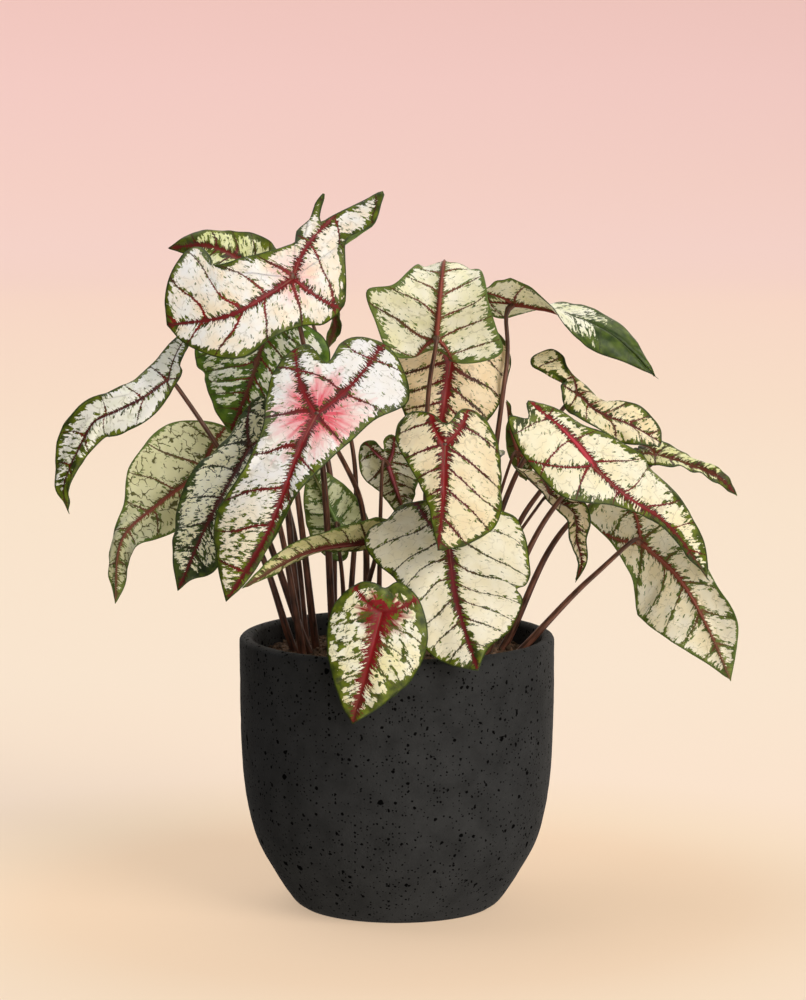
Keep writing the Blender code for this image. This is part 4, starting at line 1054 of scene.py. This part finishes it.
def cement_material():
    """Charcoal cast cement: matte and slightly mottled, with open pits where air bubbles met the mould.

    The pits are cells of 7, 3.5 and 1.7 mm, of which some hold a bubble up to a third as wide. Each pit is
    painted near black, as painted shade inside its hollow, and is too deep to shine, so it has no gloss.
    """
    material, node, set_shader = new_material("charcoal cast cement")
    where = node("TexCoord", out=3)
    cloud = node("TexNoise", {"Vector": where, "Scale": 60.0, "Detail": 5.0, "Roughness": 0.65})
    painted = node("Mix", {0: node("MapRange", [cloud, 0.35, 0.65]), 6: "1C1D1E", 7: "2A2B2C"}, **BLEND)
    pits = 0.0
    for cells, least, size in ((140.0, 0.7, 0.27), (290.0, 0.35, 0.32), (600.0, 0.3, 0.38)):
        wavy = node("TexNoise", {"Vector": where, "Scale": 2 * cells, "Detail": 1.0}, out=1)
        wavy = node("VectorMath", [wavy, (0.4 / cells,) * 3, where], operation="MULTIPLY_ADD")
        bubbles = node("TexVoronoi", {"Vector": wavy, "Scale": cells}).node.outputs
        wide = node("MapRange", [node("SeparateColor", [bubbles[1]]), least, 1.0, 0.0, size])
        pit = node("Math", [wide, bubbles[0]], operation="SUBTRACT")
        pit = node("MapRange", [pit, 0.0, 0.045], **SMOOTH)
        pits = node("Math", [pits, pit], operation="MAXIMUM")
    gloss = node("Math", [node("Math", [1.0, pits], operation="SUBTRACT"), 0.35], operation="MULTIPLY")
    grit = node("TexNoise", {"Vector": where, "Scale": 900.0, "Detail": 2.0})
    height = node("Math", [grit, pits], operation="SUBTRACT")
    # Painted shade: the pits are painted near black, the shade inside each hollow
    set_shader({"Base Color": node("Mix", {0: pits, 6: painted, 7: "080808"}, **BLEND), "Roughness": 0.85,
                "Specular IOR Level": gloss,
                "Normal": node("Bump", {"Strength": 0.6, "Distance": 0.0006, "Height": height})})
    return material


def soil_material():
    """Damp peat and coir: near black brown, crumbs a little lighter or redder, with no gloss."""
    material, node, set_shader = new_material("damp peat and coir potting mix")
    where = node("TexCoord", out=3)
    shade = node("Attribute", out=2, attribute_name="shade")
    grain = node("TexNoise", {"Vector": where, "Scale": 700.0, "Detail": 4.0, "Roughness": 0.7})
    share = node("Math", [shade, grain], operation="MULTIPLY")
    set_shader({"Base Color": node("Mix", {0: share, 6: "40301F", 7: "A07C60"}, **BLEND), "Roughness": 0.95,
                "Normal": node("Bump", {"Strength": 0.8, "Distance": 0.0008, "Height": grain})})
    return material


def soil_lumps(rows):
    """How far the mound's lumps stand out: up to 0.7 mm over 12 mm and 0.45 mm over 4.5 mm."""
    return (0.7 * sine_noise(rows / MM, 12, 21) + 0.45 * sine_noise(rows / MM, 4.5, 22)) * MM


def soil_piece(material):
    """The mix fills the pot. Its top is a low uneven mound, strewn with crumbs and short coir fibres."""
    inner = inner_wall(SOIL_GAP)
    rim_height = SOIL_LEVEL - SOIL_MOUND
    rim_radius = np.interp(rim_height, inner[1:, 1], inner[1:, 0])
    share = np.linspace(1, 0.01, SOIL_ROWS)
    mound = np.column_stack([rim_radius * share, SOIL_LEVEL - SOIL_MOUND * share**2])
    wall = inner[inner[:, 1] < rim_height - MM]
    profile = np.vstack([[0, POT_FLOOR + SOIL_GAP], wall, mound, [0, SOIL_LEVEL]])

    def lumps_on_top(rows):
        height = soil_lumps(rows) * smooth_step(rim_height - 0.5 * MM, rim_height, rows[..., 2])
        return height[..., None] * (0, 0, 1)

    points, faces = turned_surface(profile, SOIL_SIDES, lumps_on_top)
    shades = [np.full(len(points), SOIL_SHADE)]
    draw = np.random.default_rng(SOIL_SEED)
    for strewn, groups, shade in (soil_crumbs(draw, rim_radius), soil_fibres(draw, rim_radius)):
        faces += [group + len(points) for group in groups]
        points = np.vstack([points, strewn])
        shades.append(shade)
    mesh = make_mesh("potting_mix", points, faces, {"shade": np.concatenate(shades)})
    place_piece("potting_mix", mesh, [material], "soil", "soil")


def on_mound(x, y, rim_radius, lift):
    """Places at a lift over the mound: a low bowl upside down, with the same lumps as its surface."""
    level = SOIL_LEVEL - SOIL_MOUND * (x**2 + y**2) / rim_radius**2
    level = level + soil_lumps(np.stack([x, y, level], axis=-1))
    return np.stack([x, y, level + lift], axis=-1)


def soil_crumbs(draw, rim_radius):
    """Crumbs of 1 to 5 mm: eight-sided lumps, each stretched and turned its own way, half sunk."""
    radius = (rim_radius - CRUMB_RIM) * np.sqrt(draw.random(CRUMBS))
    angle = tau * draw.random(CRUMBS)
    size = (0.5 + 1.9 * draw.random(CRUMBS) ** 3) * MM
    centre = on_mound(radius * np.cos(angle), radius * np.sin(angle), rim_radius, 0.2 * size)
    axes = np.array([(1, 0, 0), (-1, 0, 0), (0, 1, 0), (0, -1, 0), (0, 0, 1), (0, 0, -1)], float)
    sides = np.array([(a, b, c) if (a == 0) ^ (b == 3) ^ (c == 5) else (a, c, b)
                      for a in (0, 1) for b in (2, 3) for c in (4, 5)])
    turns, _ = np.linalg.qr(draw.normal(size=(CRUMBS, 3, 3)))
    stretch = size[:, None] * draw.uniform(0.5, 1.3, size=(CRUMBS, 3))
    lumps = (axes * draw.uniform(0.7, 1.2, size=(CRUMBS, 6, 1)) * stretch[:, None]) @ turns
    points = (centre[:, None] + lumps).reshape(-1, 3)
    faces = (sides[None] + 6 * np.arange(CRUMBS)[:, None, None]).reshape(-1, 3)
    return points, [faces], np.repeat(draw.uniform(0.1, 1.0, CRUMBS) ** 2, 6)


def soil_fibres(draw, rim_radius):
    """Coir fibres: thin bent three-sided strands that lie on the mound."""
    points, faces, start = [], [], 0
    along = np.linspace(-1, 1, 6)
    for _ in range(FIBRES):
        radius = (rim_radius - FIBRE_RIM) * np.sqrt(draw.random())
        angle = tau * draw.random()
        heading = tau * draw.random()
        reach = draw.uniform(0.003, 0.009)
        bend = draw.uniform(-0.4, 0.4) * along**2
        x = radius * np.cos(angle) + reach * (along * np.cos(heading) - bend * np.sin(heading))
        y = radius * np.sin(angle) + reach * (along * np.sin(heading) + bend * np.cos(heading))
        line = on_mound(x, y, rim_radius, FIBRE_LIFT)
        strand, groups = carried(line, np.full(len(line), FIBRE_RADIUS), 3)
        points.append(strand)
        faces.extend(group + start for group in groups)
        start += len(strand)
    return np.vstack(points), faces, np.full(start, FIBRE_SHADE)


def make_backdrop():
    """The studio floor: flat, then curving up into a wall all round, its tint by the way from the pot."""
    bend = np.linspace(0, pi / 2, 24)
    flat = np.column_stack([np.linspace(0, FLOOR_REACH, 60), np.zeros(60)])
    curve = (FLOOR_REACH, FLOOR_BEND) + FLOOR_BEND * np.column_stack([np.sin(bend), -np.cos(bend)])
    top = [FLOOR_REACH + FLOOR_BEND, WALL_TOP]
    # The last pole and its fan are left off, and the faces look inwards
    points, (quads, core, _) = turned_surface(np.vstack([flat, curve[1:], top, top]), FLOOR_SIDES)
    mesh = make_mesh("studio_floor", points[:-1], [quads[:, ::-1], core[:, ::-1]])
    floor = place_object("studio_floor", mesh)
    material, node, set_shader = new_material("painted studio floor")
    x, y, height = node("SeparateXYZ", [node("TexCoord", out=3)]).node.outputs
    way = node("VectorMath", [node("CombineXYZ", [x, y])], out=1, operation="LENGTH")
    way = node("Math", [way, height], operation="ADD")
    tint = node("ValToRGB", [node("Math", [way, TINT_WAY], operation="DIVIDE")])
    elements = tint.node.color_ramp.elements
    while len(elements) < len(FLOOR_TINTS):
        elements.new(0.5)
    for element, (place, code) in zip(elements, FLOOR_TINTS):
        element.position = place
        element.color = colour(code)
    dimmed = node("Mix", {0: FLOOR_SHARE, 6: "000000", 7: tint}, **BLEND)
    set_shader({"Base Color": dimmed, "Emission Color": tint, "Emission Strength": FLOOR_GLOW,
                "Roughness": 1.0, "Specular IOR Level": 0.0})
    mesh.materials.append(material)
    floor.visible_diffuse = False
    floor.visible_glossy = False
    floor.visible_shadow = False


def aim(thing, place, target):
    """Stand a lamp or the camera at a place, looking at a target."""
    thing.location = place
    way = Vector(target) - Vector(place)
    thing.rotation_euler = way.to_track_quat("-Z", "Y").to_euler()


def make_lamp(name, place, softness, power, tint):
    """A wide far lamp: its light comes from place towards the pot and is even all over the floor."""
    lamp = bpy.data.lights.new(name, "SUN")
    lamp.angle = radians(softness)
    lamp.energy = power
    lamp.color = colour(tint)[:3]
    aim(place_object(name, lamp), place, (0, 0, 0))


def make_camera():
    """The camera of the photograph."""
    lens = bpy.data.cameras.new("camera")
    lens.lens = CAMERA_LENS
    lens.sensor_width = CAMERA_SENSOR
    camera = place_object("camera", lens)
    aim(camera, CAMERA_PLACE, CAMERA_AIM)
    bpy.context.scene.camera = camera


def make_studio():
    """Soft light: wide lamps in front and overhead, the glow of a pale floor and wall, a dim sky."""
    make_backdrop()
    make_lamp("key", (2.2, -2.3, 2.1), 34, 1.8, "FFF8F0")
    make_lamp("front", (1.3, -2.4, 0.3), 40, 0.9, "FFFAF4")
    make_lamp("overhead", (-1.0, 0.3, 2.6), 45, 1.1, "F6F8FF")
    make_lamp("floor glow", (0.5, -1.3, -2.1), 60, 1.5, "FFF0DC")
    make_lamp("wall glow", (0.5, 2.4, 0.8), 90, 1.7, "FFF2E4")
    world = bpy.data.worlds.new("dim sky")
    world.use_nodes = True
    sky = world.node_tree.nodes["Background"].inputs
    sky[0].default_value = colour("FFF6EC")
    sky[1].default_value = 0.17
    bpy.context.scene.world = world
    bpy.context.scene.view_settings.view_transform = "Standard"


def leaf_looks(number):
    """The looks of a leaf's upper face and underside; one pattern goes through both."""
    above, below = LOOKS[number]
    through_above, through_below = ({name: face[name] for name in SHARED if name in face}
                                    for face in (above, below))
    return {**UPPER, **above, **through_below}, {**UNDER, **through_above, **below}


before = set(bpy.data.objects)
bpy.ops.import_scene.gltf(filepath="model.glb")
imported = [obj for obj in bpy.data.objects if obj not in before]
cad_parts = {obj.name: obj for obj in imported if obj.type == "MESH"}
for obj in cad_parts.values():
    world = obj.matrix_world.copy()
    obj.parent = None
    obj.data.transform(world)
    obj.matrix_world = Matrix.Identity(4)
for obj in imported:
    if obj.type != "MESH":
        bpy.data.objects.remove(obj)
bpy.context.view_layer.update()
make_camera()
make_studio()
pot_points, pot_faces = turned_surface(pot_profile(), POT_SIDES, cast_unevenness)
place_piece("planter", make_mesh("planter", pot_points, pot_faces), [cement_material()], "cement", "pot")
soil_piece(soil_material())
skin = stalk_material()
for number, entry in LEAVES.items():
    leaf = {**PLAIN, **entry}
    midrib = Midrib(leaf)
    blade_piece(number, leaf, midrib, leaf_looks(number))
    stalk_piece(number, leaf, midrib, skin)
